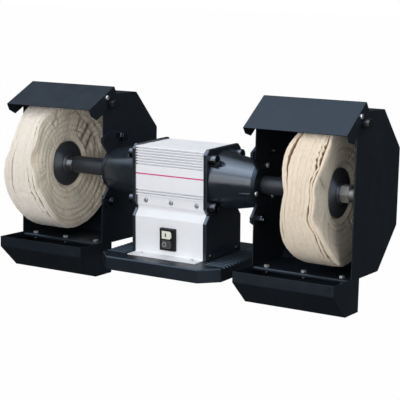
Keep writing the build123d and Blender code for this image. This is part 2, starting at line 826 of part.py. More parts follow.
def visor(rest):
    """Folded sheet over the hood: roof, rear lip and two ears, turned down to its rest angle."""
    left = hood_in - visor_gap - visor_t
    right = hood_out + visor_gap + visor_t
    body = along_x(visor_profile(), left, right)
    ear = visor_ear_outline()
    body += along_x(ear, left, left + visor_t)
    body += along_x(ear, right - visor_t, right)
    folds = body.edges().filter_by(Axis.Y).group_by(Axis.Z)[-1].sort_by(Axis.X)
    body = fillet([folds[0], folds[-1]], visor_fold_r)
    return hood_frame * Pos(0, pivot_y, pivot_z) * Rot(rest, 0, 0) * body


def ear_sides():
    """Ear's outer face, hood plate's inner face and the way out, for both ends of a hood."""
    reach = visor_gap + visor_t
    return {
        "inner": (hood_in - reach, hood_in + sheet_t, -1),
        "outer": (hood_out + reach, hood_out - sheet_t, 1),
    }


def between(a, b):
    return min(a, b), max(a, b)


def visor_fasteners():
    """Pivot screws with their nuts, and the nuts that the clamp knobs screw into."""
    pieces = []
    for ear_face, inside, outward in ear_sides().values():
        head_face = ear_face + outward * slide_gap
        nut_end = inside - outward * nut_small_t
        screw = round_head_x(pivot_head_d, pivot_head_h, head_face, outward, pivot_y, pivot_z)
        screw += rod_x(pivot_d, *between(head_face, nut_end), pivot_y, pivot_z)
        span = between(inside, nut_end)
        nut = hex_x(nut_small_af, *span, pivot_y, pivot_z) - rod_x(pivot_d, *span, pivot_y, pivot_z)
        stud_place = (pivot_y + knob_y, pivot_z + knob_z)
        knob_nut = hex_x(nut_small_af, *span, *stud_place)
        knob_nut -= rod_x(stud_d + 2 * stud_gap, *span, *stud_place)
        pieces += [screw, nut, knob_nut]
    return pieces


def clamp_knob(end):
    """Fluted knob with its stud, drawn along X at one end of the hood."""
    ear_face, inside, outward = ear_sides()[end]
    face = ear_face + outward * slide_gap
    neck_end = face + outward * knob_neck
    head_end = neck_end + outward * knob_len
    grip = Circle(knob_d / 2)
    for n in range(knob_flutes):
        grip -= Pos(*polar(knob_d / 2 + knob_flute_d / 4, 360 / knob_flutes * n)) * Circle(knob_flute_d / 2)
    knob = along_x(grip, *between(neck_end, head_end))
    knob += rod_x(knob_neck_d, *between(face, neck_end))
    knob += rod_x(stud_d, *between(face, inside - outward * nut_small_t))
    return hood_frame * Pos(0, pivot_y + knob_y, pivot_z + knob_z) * knob


def tray_screw_y():
    return tray_screw_back - hood_front


def tray_screw_xs():
    middle = (hood_in + hood_out) / 2
    return [middle + n * tray_screw_pitch for n in (-1, 0, 1)]


def tray_section():
    """Corner points of the tray in (Y, Z), from the front wall's top round to the ledge."""
    floor = -hood_r
    top = floor + tray_rise
    return [
        (-tray_front, top), (-tray_front, top - tray_wall), (-tray_toe, floor - tray_depth),
        (-tray_heel, floor - tray_depth), (-tray_heel, floor), (-tray_heel - tray_ledge, floor)]


def dust_tray():
    """Trough with closed ends and a ledge that screws up under the hood's floor."""
    section = tray_section()
    body = along_x(bent_sheet(section, [tray_bend_r] * (len(section) - 2), tray_t), hood_in, hood_out)
    back = -hood_front - lip_gap
    end = make_face(Polyline(
        *section[:5], (back, -hood_r), (back, section[0][1]), close=True))
    body += along_x(end, hood_in, hood_in + tray_t)
    body += along_x(end, hood_out - tray_t, hood_out)
    for x in tray_screw_xs():
        body -= Pos(x, tray_screw_y(), -hood_r) * Cylinder(tray_screw_d / 2, punch)
    return body


def tray_screws():
    """Hexagon screws down through the hood's floor and the tray's ledge, with nuts underneath."""
    pieces = []
    shank_len = sheet_t + tray_t + tray_nut_t + tray_stub
    for x in tray_screw_xs():
        seat = Pos(x, tray_screw_y(), -hood_r + sheet_t)
        head = extrude(RegularPolygon(tray_head_af / 2, 6, major_radius=False), tray_head_h)
        screw = head + Cylinder(tray_screw_d / 2, shank_len, align=DOWNWARD)
        nut = extrude(RegularPolygon(tray_head_af / 2, 6, major_radius=False), tray_nut_t)
        nut -= Cylinder(tray_screw_d / 2, tray_nut_t, align=UPWARD)
        pieces += [seat * screw, seat * Pos(0, 0, -sheet_t - tray_t - tray_nut_t) * nut]
    return pieces


def button_outline(clearance):
    """Button face in (X, Z): a rectangle with its right corners cut."""
    shape = Rectangle(button_w + 2 * clearance, button_h + 2 * clearance)
    return chamfer(shape.vertices().group_by(Axis.X)[-1], button_corner)


def button_places():
    return {"start_button": button_pitch / 2, "stop_button": -button_pitch / 2}


def switch_plane(y):
    """Drawing plane that faces the front, at the given depth, centred on the switch."""
    return Plane((0, y, switch_z), x_dir=(1, 0, 0), z_dir=(0, -1, 0))


def switch_body():
    """Frame on the panel with two button wells, and the contact block behind it."""
    frame = extrude(switch_plane(-cover_face) * Rectangle(switch_w, switch_h), switch_d)
    frame = chamfer(frame.faces().sort_by(Axis.Y)[0].edges(), switch_bevel)
    back = extrude(switch_plane(-cover_face) * Rectangle(switch_back_w, switch_back_h), -switch_back_d)
    well_depth = button_len - button_proud + button_travel + button_rest
    body = frame + back
    for z in button_places().values():
        body -= extrude(switch_plane(switch_face) * Pos(0, z) * button_outline(button_gap), -well_depth)
    return body


def switch_button(z):
    button = extrude(switch_plane(switch_face - button_proud) * Pos(0, z) * button_outline(0), -button_len)
    return fillet(button.faces().sort_by(Axis.Y)[0].edges(), button_round)


def terminal_block():
    """Connector strip on the base, with a row of wells for its screws."""
    length, depth, height = block_size
    body = Box(length, depth, height, align=UPWARD)
    for n in range(block_wells):
        well = Cylinder(block_well_d / 2, 2 * block_well_depth)
        body -= Pos((n - (block_wells - 1) / 2) * block_well_pitch, 0, height) * well
    return Pos(0, block_y, base_h) * body


def cable_gland():
    """Hexagon body, dome and bore of the cable inlet in the rear cover."""
    bore = gland_bore_d / 2
    hex_end = cover_t + gland_nut_t
    tip = hex_end + gland_dome
    body = turned(
        (-gland_tail, bore), (-gland_tail, gland_d / 2), (hex_end, gland_d / 2), (hex_end, gland_body_wall),
        (tip - gland_dome_round, gland_body_wall), (tip, bore + gland_lip), (tip, bore))
    body += hex_x(gland_af, cover_t, hex_end) - rod_x(gland_bore_d, cover_t, hex_end)
    return Pos(gland_x, pedestal_d / 2, gland_z) * Rot(0, 0, 90) * body


def hood_side():
    """Pieces of the right-hand hood, apart from its visor and knobs."""
    return {
        "hood_inner_plate": hood_inner_plate(),
        "hood_outer_plate": hood_outer_plate(),
        "hood_wrapper": hood_wrapper(),
        "hood_bolts": hood_bolts(),
        "visor_fasteners": visor_fasteners(),
        "dust_tray": dust_tray(),
        "tray_screws": tray_screws(),
    }


def spindle_side(preloaded):
    """Pieces at the right-hand end of the spindle."""
    return {
        "spindle_sleeve": sleeve(preloaded),
        "spindle_collar": shaft_collar(),
        "inner_flange": inner_flange(),
        "outer_flange": outer_flange(),
        "spindle_nut": spindle_nut(),
        "buffing_wheel": buffing_wheel(),
    }


def as_list(shape):
    return shape if isinstance(shape, list) else [shape]


def all_nodes():
    """Every piece by its node's name; each value is one solid or a list of solids."""
    nodes = {
        "base_plate": base_plate(),
        "pedestal_front_cover": cover(front=True),
        "pedestal_rear_cover": cover(front=False),
        "cover_screws": cover_screws(),
        "leg_screws": leg_screws(),
        "motor_housing": lift * motor_housing(),
        "stator_core": lift * stator_core(),
        "stator_windings": [lift * coil for coil in stator_windings()],
        "spindle_shaft": lift * spindle_shaft(),
        "rotor": lift * rotor(),
        "preload_washer": lift * preload_washer(),
        "switch_body": switch_body(),
        "terminal_block": terminal_block(),
        "cable_gland": cable_gland(),
    }
    for name, z in button_places().items():
        nodes[name] = switch_button(z)
    right_outer, right_inner = bearing_rings(False)
    left_outer, left_inner = bearing_rings(True)
    nodes["bearing_outer_rings"] = [lift * right_outer, lift * other_side(left_outer)]
    nodes["bearing_inner_rings"] = [lift * right_inner, lift * other_side(left_inner)]
    shield_screws = end_shield_screws()
    nodes["end_shield_screws"] = [lift * s for s in shield_screws + [other_side(s) for s in shield_screws]]
    for side, rest in (("left", visor_rest_left), ("right", visor_rest_right)):
        def place(shape):
            return other_side(shape) if side == "left" else shape

        pieces = {name: [hood_frame * s for s in as_list(shape)] for name, shape in hood_side().items()}
        spindle = spindle_side(preloaded=side == "left")
        pieces.update({name: [lift * s for s in as_list(shape)] for name, shape in spindle.items()})
        pieces["end_shield"] = [lift * end_shield()]
        pieces["hood_bracket"] = [lift * hood_bracket()]
        pieces["bracket_screws"] = [lift * s for s in bracket_screws()]
        pieces["visor"] = [visor(rest)]
        pieces["inner_knob"] = [clamp_knob("inner")]
        pieces["outer_knob"] = [clamp_knob("outer")]
        for name, shapes in pieces.items():
            nodes[f"{side}_{name}"] = [place(s) for s in shapes]
    return nodes


os.makedirs("parts", exist_ok=True)
for node, shapes in all_nodes().items():
    solids = [solid for shape in as_list(shapes) for solid in shape.solids()]
    export_step(solids[0] if len(solids) == 1 else Compound(children=solids), f"parts/{node}.step")
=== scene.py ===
import json
from math import cos, pi, radians, sin, tau

import bmesh
import bpy
import numpy as np
from mathutils import Matrix, Vector


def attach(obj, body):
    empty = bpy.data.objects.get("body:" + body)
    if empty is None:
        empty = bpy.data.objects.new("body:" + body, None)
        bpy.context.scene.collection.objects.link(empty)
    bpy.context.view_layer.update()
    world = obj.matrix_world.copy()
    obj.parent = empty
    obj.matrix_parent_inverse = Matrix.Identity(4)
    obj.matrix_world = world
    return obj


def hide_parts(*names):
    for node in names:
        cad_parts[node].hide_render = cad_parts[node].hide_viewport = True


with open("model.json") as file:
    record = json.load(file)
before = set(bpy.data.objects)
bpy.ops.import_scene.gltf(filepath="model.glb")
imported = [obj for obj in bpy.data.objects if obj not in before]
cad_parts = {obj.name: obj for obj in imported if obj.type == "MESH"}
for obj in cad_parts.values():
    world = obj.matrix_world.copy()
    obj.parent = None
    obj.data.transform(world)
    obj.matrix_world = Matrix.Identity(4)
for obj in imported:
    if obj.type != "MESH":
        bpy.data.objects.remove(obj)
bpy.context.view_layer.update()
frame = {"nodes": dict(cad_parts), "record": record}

nodes = frame["nodes"]
scene = bpy.context.scene
scene.view_settings.view_transform = "Standard"
MM = 0.001

# Places taken from the part's source, in millimetres
AXIS_Z = 193.0
WHEEL_X = 344.2
WHEEL_R = 150.0
CORE_HALF = 17.0            # half of the cloth squeezed between the flanges
ARBOR_R = 11.0
ARBOR_END = 401.2
NUT_END = 392.2
HOUSING_FRONT = -67.5
SWITCH_Z = 66.5
SWITCH_FACE = -79.0
BUTTON_PITCH = 20.5
BUTTON_PROUD = 1.2
STRIPE_Z = 202.0
STRIPE_HALF = 1.4

# Camera, fitted to the photograph
CAM_AZIMUTH = 32.11
CAM_ELEVATION = 10.68
CAM_ROLL = 0.22
CAM_DISTANCE = 2.715
CAM_TARGET = (0.0633, -0.0466, 0.1545)
IMAGE_PX = 400
FOCAL_PX = 1286.4
SENSOR_MM = 36.0

# Studio. A lamp is its azimuth, elevation, distance, size and level. The sky is what gloss sees.
FLOOR_Z = -0.85             # the machine stands on a stand, which the photograph leaves out
FLOOR_HALF = 30.0
FLOOR_GREY = (0.35, 0.35, 0.35)
FLOOR_WHITENESS = 0.985     # the rest of what the camera sees there is the shadow
LAMPS = {
    "key": (-17.0, 16.0, 3.2, 1.7, 0.215),
    "top": (-22.0, 55.0, 3.0, 1.5, 0.09),
    "fill": (80.0, 4.0, 3.2, 2.2, 0.10),
    "front": (17.0, 12.0, 1.5, 0.9, 0.45),
}
WHITE = (1.0, 1.0, 1.0)
SKY_LOW = (0.02, 0.021, 0.023)
SKY_HIGH = (3.5, 4.1, 4.95)
SKY_RIGHT = (1.0, 1.05, 1.15)
EVEN_LIGHT = (0.97, 0.985, 1.0)


def compass(azimuth, elevation):
    """Unit vector towards a place on the sky; azimuth 0 is the front, 90 the right."""
    a = radians(azimuth)
    e = radians(elevation)
    return Vector((cos(e) * sin(a), -cos(e) * cos(a), sin(e)))


def make_camera():
    data = bpy.data.cameras.new("camera")
    data.sensor_width = SENSOR_MM
    data.lens = FOCAL_PX / IMAGE_PX * SENSOR_MM
    data.clip_start = 0.05
    data.clip_end = 100.0
    camera = bpy.data.objects.new("camera", data)
    scene.collection.objects.link(camera)
    back = compass(CAM_AZIMUTH, CAM_ELEVATION)
    right = Vector((0, 0, 1)).cross(back).normalized()
    up = back.cross(right)
    turn = Matrix((right, up, back)).transposed() @ Matrix.Rotation(radians(CAM_ROLL), 3, "Z")
    camera.matrix_world = Matrix.Translation(Vector(CAM_TARGET) + back * CAM_DISTANCE) @ turn.to_4x4()
    scene.camera = camera


def make_lamp(name, azimuth, elevation, distance, size, level):
    """Square soft box; level is how bright it alone makes a white face turned to it."""
    data = bpy.data.lights.new(name, "AREA")
    data.shape = "SQUARE"
    data.size = size
    data.energy = level * pi ** 2 * distance ** 2
    lamp = bpy.data.objects.new(name, data)
    scene.collection.objects.link(lamp)
    back = compass(azimuth, elevation)
    lamp.location = Vector(CAM_TARGET) + back * distance
    lamp.rotation_euler = back.to_track_quat("Z", "Y").to_euler()


class Graph:
    """Short way to add nodes and links to a node tree."""

    def __init__(self, tree):
        self.tree = tree

    def add(self, kind, inputs=None, **settings):
        node = self.tree.nodes.new(kind)
        for name, value in settings.items():
            setattr(node, name, value)
        for name, value in (inputs or {}).items():
            self.set(node.inputs[name], value)
        return node

    def set(self, socket, value):
        if isinstance(value, bpy.types.NodeSocket):
            self.tree.links.new(value, socket)
        elif isinstance(value, tuple) and len(value) == 3 and socket.type == "RGBA":
            socket.default_value = (*value, 1.0)
        else:
            socket.default_value = value

    def math(self, operation, a, b=0.0, clamp=False):
        return self.add("ShaderNodeMath", {0: a, 1: b}, operation=operation, use_clamp=clamp).outputs[0]

    def remap(self, value, low, high, to_low, to_high):
        inputs = {0: value, 1: low, 2: high, 3: to_low, 4: to_high}
        return self.add("ShaderNodeMapRange", inputs).outputs[0]

    def mix(self, factor, a, b):
        node = self.add("ShaderNodeMix", data_type="RGBA")
        self.set(node.inputs[0], factor)
        self.set(node.inputs[6], a)
        self.set(node.inputs[7], b)
        return node.outputs[2]


class Finish(Graph):
    """A material: one Principled shader whose colour, roughness and bump come from noise."""

    def __init__(self, name, **sockets):
        self.material = bpy.data.materials.new(name)
        self.material.use_nodes = True
        super().__init__(self.material.node_tree)
        self.shader = self.tree.nodes["Principled BSDF"]
        self.place = self.add("ShaderNodeTexCoord").outputs["Object"]
        self.normal = None
        for key, value in sockets.items():
            self.set(self.shader.inputs[key.replace("_", " ")], value)

    def stretched(self, scale):
        return self.add("ShaderNodeMapping", {"Vector": self.place, "Scale": scale}).outputs[0]

    def noise(self, scale, detail=2.0, roughness=0.5, stretch=None, distortion=0.0):
        inputs = {"Scale": scale, "Detail": detail, "Roughness": roughness, "Distortion": distortion}
        inputs["Vector"] = self.stretched(stretch) if stretch else self.place
        return self.add("ShaderNodeTexNoise", inputs).outputs[0]

    def cells(self, scale, smoothness=1.0):
        inputs = {"Vector": self.place, "Scale": scale, "Smoothness": smoothness}
        return self.add("ShaderNodeTexVoronoi", inputs, feature="SMOOTH_F1").outputs["Distance"]

    def wave(self, scale, axis, distortion=0.0):
        inputs = {"Vector": self.place, "Scale": scale, "Distortion": distortion, "Detail": 1.0}
        return self.add("ShaderNodeTexWave", inputs, bands_direction=axis).outputs["Fac"]

    def soften(self, radius):
        """Broken edges: the normal is rounded over this many millimetres."""
        self.normal = self.add("ShaderNodeBevel", {"Radius": radius * MM}, samples=4).outputs[0]

    def bump(self, height, strength, depth):
        inputs = {"Height": height, "Strength": strength, "Distance": depth * MM}
        if self.normal:
            inputs["Normal"] = self.normal
        self.normal = self.add("ShaderNodeBump", inputs).outputs[0]

    def colour(self, value):
        self.set(self.shader.inputs["Base Color"], value)

    def roughness(self, value, low, high):
        self.set(self.shader.inputs["Roughness"], self.remap(value, 0.3, 0.7, low, high))

    def done(self):
        if self.normal:
            self.set(self.shader.inputs["Normal"], self.normal)
        return self.material


def grained_paint(name, colour, rub, rough, grain, depth, edge=0.6, **sockets):
    """Powder coat or paint: fine grain, cloudy gloss and slightly paler rubbed patches."""
    finish = Finish(name, **sockets)
    cloud = finish.noise(9.0, 4.0, 0.6)
    fine = finish.noise(grain, 2.0, 0.6)
    patches = finish.remap(cloud, 0.42, 0.72, 0.0, 1.0)
    finish.colour(finish.mix(patches, colour, rub))
    finish.roughness(finish.noise(38.0, 3.0, 0.6), *rough)
    finish.soften(edge)
    finish.bump(fine, 0.35, depth)
    finish.bump(finish.noise(60.0, 2.0), 0.12, 0.25)
    return finish.done()


def hammered_paint(name, colour, rub, rough, **sockets):
    """Thick gloss paint on castings, with the skin of the sand mould faintly under it."""
    finish = Finish(name, **sockets)
    cloud = finish.noise(14.0, 4.0, 0.6)
    finish.colour(finish.mix(finish.remap(cloud, 0.4, 0.7, 0.0, 1.0), colour, rub))
    finish.roughness(finish.noise(55.0, 3.0, 0.6), *rough)
    finish.soften(1.2)
    finish.bump(finish.cells(420.0), 0.2, 0.22)
    finish.bump(finish.noise(120.0, 3.0, 0.55), 0.12, 0.35)
    return finish.done()


def turned_metal(name, colour, tint, rough, lines, depth=0.06, **sockets):
    """Lathe-turned surface, bare or painted: fine rings round the spindle line."""
    finish = Finish(name, **sockets)
    if "Anisotropic" in sockets:
        around = finish.add("ShaderNodeTangent", direction_type="RADIAL", axis="X").outputs[0]
        finish.set(finish.shader.inputs["Tangent"], around)
    rings = finish.noise(1.0, 2.0, 0.7, stretch=(lines, 6.0, 6.0))
    stain = finish.noise(45.0, 3.0, 0.6)
    finish.colour(finish.mix(finish.remap(stain, 0.4, 0.7, 0.0, 1.0), colour, tint))
    finish.roughness(finish.mix(0.5, rings, stain), *rough)
    finish.soften(0.5)
    finish.bump(rings, 0.3, depth)
    return finish.done()


def plated_steel(name, colour, tint, rough):
    """Zinc plating: cloudy grey with faint spangle."""
    finish = Finish(name, Metallic=0.8)
    cloud = finish.noise(160.0, 3.0, 0.6)
    finish.colour(finish.mix(finish.remap(cloud, 0.35, 0.7, 0.0, 1.0), colour, tint))
    finish.roughness(finish.cells(500.0), *rough)
    finish.soften(0.4)
    finish.bump(finish.noise(700.0, 2.0), 0.2, 0.05)
    return finish.done()


def moulded_plastic(name, colour, rub, rough, grain=1100.0, **sockets):
    finish = Finish(name, **sockets)
    finish.colour(finish.mix(finish.remap(finish.noise(70.0, 3.0), 0.4, 0.75, 0.0, 1.0), colour, rub))
    finish.roughness(finish.noise(90.0, 2.0), *rough)
    finish.soften(0.4)
    finish.bump(finish.noise(grain, 1.0), 0.3, 0.06)
    return finish.done()


def stacked_sheets(name, colour, dark):
    """Stator laminations: thin sheet edges side by side along the spindle."""
    finish = Finish(name, Metallic=0.9)
    sheets = finish.wave(1000.0 / 3.2, "X")
    finish.colour(finish.mix(sheets, dark, colour))
    finish.roughness(finish.noise(80.0), 0.35, 0.55)
    finish.bump(sheets, 0.5, 0.1)
    return finish.done()


def enamelled_wire(name, colour, dark):
    """Wound copper: turns of wire under varnish."""
    finish = Finish(name, Metallic=0.7)
    turns = finish.noise(1.0, 2.0, 0.5, stretch=(900.0, 60.0, 60.0))
    finish.colour(finish.mix(turns, dark, colour))
    finish.roughness(turns, 0.25, 0.45)
    finish.bump(turns, 0.6, 0.3)
    return finish.done()


def white_coat_with_stripe(name):
    """Pale powder coat; a thin printed line runs along the front of the motor housing."""
    finish = Finish(name)
    cloud = finish.noise(8.0, 4.0, 0.6)
    coat = finish.mix(finish.remap(cloud, 0.35, 0.7, 0.0, 1.0), (0.765, 0.775, 0.81), (0.81, 0.82, 0.85))
    xyz = finish.add("ShaderNodeSeparateXYZ", {0: finish.place}).outputs
    off = finish.math("ABSOLUTE", finish.math("SUBTRACT", xyz[2], STRIPE_Z * MM))
    in_line = finish.math("LESS_THAN", off, STRIPE_HALF * MM)
    in_front = finish.math("LESS_THAN", xyz[1], (HOUSING_FRONT + 1.0) * MM)
    finish.colour(finish.mix(finish.math("MULTIPLY", in_line, in_front), coat, (0.60, 0.015, 0.19)))
    finish.roughness(finish.noise(40.0, 3.0, 0.6), 0.38, 0.5)
    finish.soften(0.6)
    finish.bump(finish.noise(1300.0, 2.0, 0.6), 0.25, 0.05)
    finish.bump(finish.noise(70.0, 2.0), 0.08, 0.2)
    return finish.done()


def cotton(name):
    """Unbleached cotton: plain weave, slubs and ply edges along the rim; painted shade, tan to dark
    brown, in the gaps and folds, and painted shade on the right wheel.
    """
    finish = Finish(name, Sheen_Weight=0.15, Sheen_Roughness=0.5, Specular_IOR_Level=0.12)
    fold_shade = finish.add("ShaderNodeAttribute", attribute_name="fold_shade").outputs["Fac"]
    rim = finish.add("ShaderNodeAttribute", attribute_name="rim").outputs["Fac"]
    cloud = finish.remap(finish.noise(16.0, 4.0, 0.6), 0.35, 0.7, 0.0, 1.0)
    slub = finish.remap(finish.noise(1.0, 3.0, 0.65, stretch=(90.0, 420.0, 55.0)), 0.45, 0.75, 0.0, 1.0)
    ply = finish.noise(1.0, 3.0, 0.75, stretch=(1300.0, 9.0, 9.0))
    leaf = finish.noise(1.0, 2.0, 0.6, stretch=(240.0, 7.0, 7.0))
    stain = finish.remap(finish.noise(7.0, 3.0, 0.6), 0.5, 0.72, 0.0, 1.0)
    xyz = finish.add("ShaderNodeSeparateXYZ", {0: finish.place}).outputs
    # The right wheel (x > 0): painted shade on its face; on its rim a warmer, darker tone, partly its
    # own older tint and partly painted shade.
    wear_and_shade = finish.remap(xyz[0], -0.2, 0.2, 0.0, 0.5)
    face = finish.mix(cloud, (0.87, 0.77, 0.62), (0.91, 0.84, 0.70))
    face = finish.mix(finish.math("MULTIPLY", slub, 0.3), face, (0.58, 0.47, 0.35))
    face = finish.mix(wear_and_shade, face, (0.27, 0.24, 0.195))
    edge = finish.mix(finish.remap(ply, 0.34, 0.62, 0.0, 1.0), (0.74, 0.685, 0.615), (0.82, 0.79, 0.75))
    edge = finish.mix(finish.remap(leaf, 0.45, 0.62, 0.0, 0.5), edge, (0.71, 0.62, 0.51))
    edge = finish.mix(finish.math("MULTIPLY", stain, 0.3), edge, (0.73, 0.61, 0.46))
    edge = finish.mix(wear_and_shade, edge, (0.68, 0.535, 0.36))
    cloth = finish.mix(finish.math("MULTIPLY", rim, 0.9), face, edge)
    # Painted shade from the vertex attribute: tan, then dark brown, deeper in the gaps between leaves
    # and in the face's wrinkles, creases and stitch lines.
    tan = finish.mix(rim, (0.30, 0.25, 0.20), (0.60, 0.38, 0.19))
    cloth = finish.mix(finish.remap(fold_shade, 0.0, 0.6, 0.0, 1.0), cloth, tan)
    deep = finish.mix(rim, (0.10, 0.075, 0.055), (0.30, 0.175, 0.09))
    finish.colour(finish.mix(finish.remap(fold_shade, 0.55, 1.0, 0.0, 1.0), cloth, deep))
    finish.roughness(cloud, 0.85, 0.95)
    weave = finish.math("MULTIPLY", finish.wave(420.0, "Y", 1.5), finish.wave(420.0, "Z", 1.5))
    finish.bump(weave, 0.35, 0.25)
    finish.bump(ply, 0.2, 0.3)
    finish.bump(finish.noise(240.0, 3.0, 0.6), 0.25, 0.5)
    return finish.done()


BLUE_GLOSS = {"Specular_Tint": (0.66, 0.83, 1.0, 1.0)}
PALE_GLOSS = {"Specular_Tint": (0.86, 0.92, 1.0, 1.0)}
finishes = {
    "cast_paint": hammered_paint(
        "cast_paint", (0.012, 0.016, 0.022), (0.016, 0.021, 0.027), (0.15, 0.26), IOR=1.7, **PALE_GLOSS),
    "base_paint": grained_paint(
        "base_paint", (0.0085, 0.0120, 0.0160), (0.0115, 0.0155, 0.0205), (0.34, 0.44), 520.0, 0.07,
        Specular_IOR_Level=0.4, **BLUE_GLOSS),
    "white_coat": white_coat_with_stripe("white_coat"),
    "hood_coat": grained_paint(
        "hood_coat", (0.0070, 0.0092, 0.0128), (0.0092, 0.0118, 0.0158), (0.32, 0.44), 950.0, 0.09,
        Specular_IOR_Level=0.42, **BLUE_GLOSS),
    "sleeve_paint": turned_metal(
        "sleeve_paint", (0.016, 0.020, 0.027), (0.022, 0.026, 0.033), (0.4, 0.54), 900.0, 0.03),
    "zinc_steel": plated_steel("zinc_steel", (0.62, 0.62, 0.61), (0.52, 0.51, 0.49), (0.3, 0.46)),
    "dark_screws": grained_paint(
        "dark_screws", (0.100, 0.104, 0.115), (0.130, 0.134, 0.145), (0.20, 0.32), 1400.0, 0.02, 0.9,
        Metallic=1.0),
    "ground_steel": turned_metal(
        "ground_steel", (0.66, 0.655, 0.645), (0.56, 0.545, 0.52), (0.32, 0.46), 2200.0, Metallic=0.8),
    "flange_paint": turned_metal(
        "flange_paint", (0.040, 0.045, 0.052), (0.050, 0.055, 0.062), (0.42, 0.54), 700.0, 0.01, IOR=2.2,
        Anisotropic=0.9, Anisotropic_Rotation=0.25, **PALE_GLOSS),
    "turned_collar": turned_metal(
        "turned_collar", (0.36, 0.36, 0.37), (0.30, 0.30, 0.30), (0.36, 0.5), 1500.0, 0.03, Metallic=1.0,
        Anisotropic=0.9, Anisotropic_Rotation=0.25),
    "lamination": stacked_sheets("lamination", (0.42, 0.42, 0.43), (0.16, 0.16, 0.17)),
    "copper": enamelled_wire("copper", (0.62, 0.26, 0.10), (0.25, 0.09, 0.04)),
    "switch_black": moulded_plastic(
        "switch_black", (0.006, 0.006, 0.0065), (0.009, 0.009, 0.0095), (0.46, 0.58),
        Specular_IOR_Level=0.2),
    "button_black": moulded_plastic(
        "button_black", (0.055, 0.056, 0.06), (0.075, 0.076, 0.08), (0.3, 0.45)),
    "pale_plastic": moulded_plastic("pale_plastic", (0.72, 0.74, 0.64), (0.66, 0.67, 0.58), (0.3, 0.42)),
    "knob_black": moulded_plastic(
        "knob_black", (0.007, 0.0075, 0.009), (0.010, 0.0105, 0.012), (0.14, 0.24)),
    "cotton_cloth": cotton("cotton_cloth"),
}


def piece_from(name, verts, faces, slot, body, attributes=None):
    """New mesh piece in millimetres, with its finish, that rides on a body."""
    mesh = bpy.data.meshes.new(name)
    mesh.from_pydata((np.asarray(verts) * MM).tolist(), [], faces)
    for key, values in (attributes or {}).items():
        layer = mesh.attributes.new(key, "FLOAT", "POINT")
        layer.data.foreach_set("value", np.asarray(values, np.float32))
    build = bmesh.new()
    build.from_mesh(mesh)
    bmesh.ops.recalc_face_normals(build, faces=build.faces)
    build.to_mesh(mesh)
    build.free()
    mesh.shade_smooth()
    mesh.materials.append(finishes[slot])
    piece = bpy.data.objects.new(name, mesh)
    scene.collection.objects.link(piece)
    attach(piece, body)
    return piece


# Cloth wheels. A wheel is a stack of leaves, each of several plies. Seen from the right, angle 0 is
# the back, 90 the top and 180 the front. A leaf's place across the rim is a share of the way from the
# left edge of the cloth to its right edge, which wander as the photograph shows. A crease is (depth,
# width, path), and its path is (radius, angle) points on a face of the wheel. A gap is (leaf on its
# left, angle, spread, width, how ragged).
SEGMENTS = 480
angles = np.arange(SEGMENTS) * tau / SEGMENTS
PLY_PITCH = 1.7             # plies show at the rim as ridges about this far apart
STITCH_RINGS = (66.0, 79.0, 92.0, 106.0, 119.0, 132.0)
SPREAD_FROM = 52.0          # radius where the cloth comes out from under the flange
BRIM = 140.0                # radius where a face of the wheel turns into its rim
LEAF_DEPTH = 32.0           # inner leaves are modelled this far in from the rim
SHOULDER_DROP = 9.0         # a leaf's edge is modelled this far down where a gap opens
EDGE_EASING = 2.2           # degrees
SHUT_BELOW = 0.35           # part of a gap's wave that stays shut
OPEN_GAP = 1.6              # a gap this wide counts as fully open
LEAF_UNEVENNESS = 0.09
LONG_WRINKLES = (14, 40, 0.03)
SHORT_WRINKLES = (34, 78, 0.03)
WRINKLE_DEPTH = 1.7
WRINKLE_SHADE = 0.13
CREASE_SHADE = 0.1
STITCH_DEPTH = 1.5
STITCH_SHADE = 0.2
STITCH_WANDER = 1.6
SWELL_DEPTH = 0.8
PUFF_HEIGHT = 0.7
END_TUCK = 1.6              # the outermost leaves end this far inside the rim
NEXT_TUCK = 0.5
LEFT_SEED = 11
RIGHT_SEED = 29

LEFT_WHEEL = {
    "right_edge": (
        (122, 35), (134, 30), (143, 33), (151, 38), (159, 36), (164, 30), (171, 30), (178, 38),
        (186, 42), (193, 42), (200, 48), (208, 54), (218, 56), (232, 54), (250, 47), (280, 39),
        (320, 43), (360, 37), (400, 41), (440, 35), (460, 38)),
    "left_edge": (
        (122, -38), (136, -32), (149, -29), (161, -32), (171, -40), (181, -44), (192, -45), (201, -44),
        (213, -40), (228, -36), (250, -38), (290, -42), (330, -36), (370, -40), (410, -36), (450, -41)),
    "shares": (0.06, 0.08, 0.13, 0.13, 0.15, 0.15, 0.14, 0.06, 0.05, 0.05),
    "looseness": (1.2, 0.6, 0.1, 0.05, 0.05, 0.05, 0.2, 0.8, 1.4),
    "gaps": ((2, 182, 18, 2.2, 0.25), (6, 200, 22, 2.4, 0.45), (8, 216, 20, 3.4, 0.45),
             (7, 140, 14, 1.4, 0.45), (1, 225, 14, 1.2, 0.45)),
    "right_creases": (
        (2.4, 2.6, ((116, 77), (105, 54), (102, 34), (105, 15))), (9.0, 4.0, ((107, 50), (71, 46))),
        (9.0, 4.0, ((100, 36), (85, 31), (73, 24))), (5.0, 3.4, ((105, 69), (83, 69))),
        (4.0, 3.0, ((103, 27), (97, 11))),
        (2.2, 2.2, ((123, 81), (112, 100))), (3.2, 3.0, ((141, 112), (129, 116), (118, 124))),
        (1.6, 2.4, ((132, 130), (130, 142), (128, 159))), (1.6, 2.6, ((117, 114), (102, 119))),
        (2.2, 2.0, ((108, 44), (138, 40))), (2.2, 2.0, ((121, 49), (121, 37), (125, 26))),
        (2.2, 2.2, ((120, 28), (119, 16))), (1.4, 2.4, ((79, 209), (107, 226), (131, 239))),
        (1.6, 2.4, ((56, 259), (89, 268))), (1.6, 2.4, ((54, 286), (76, 284))),
        (2.6, 2.2, ((120, 330), (121, 315), (138, 299))), (2.0, 2.0, ((132, 325), (140, 312)))),
    "left_creases": (
        (3.5, 3.5, ((120, 20), (70, 26))), (4.0, 3.5, ((118, 150), (66, 144))),
        (3.0, 4.0, ((116, 260), (60, 268))),
        (2.0, 2.4, ((126, 60), (120, 90), (128, 118)))),
}
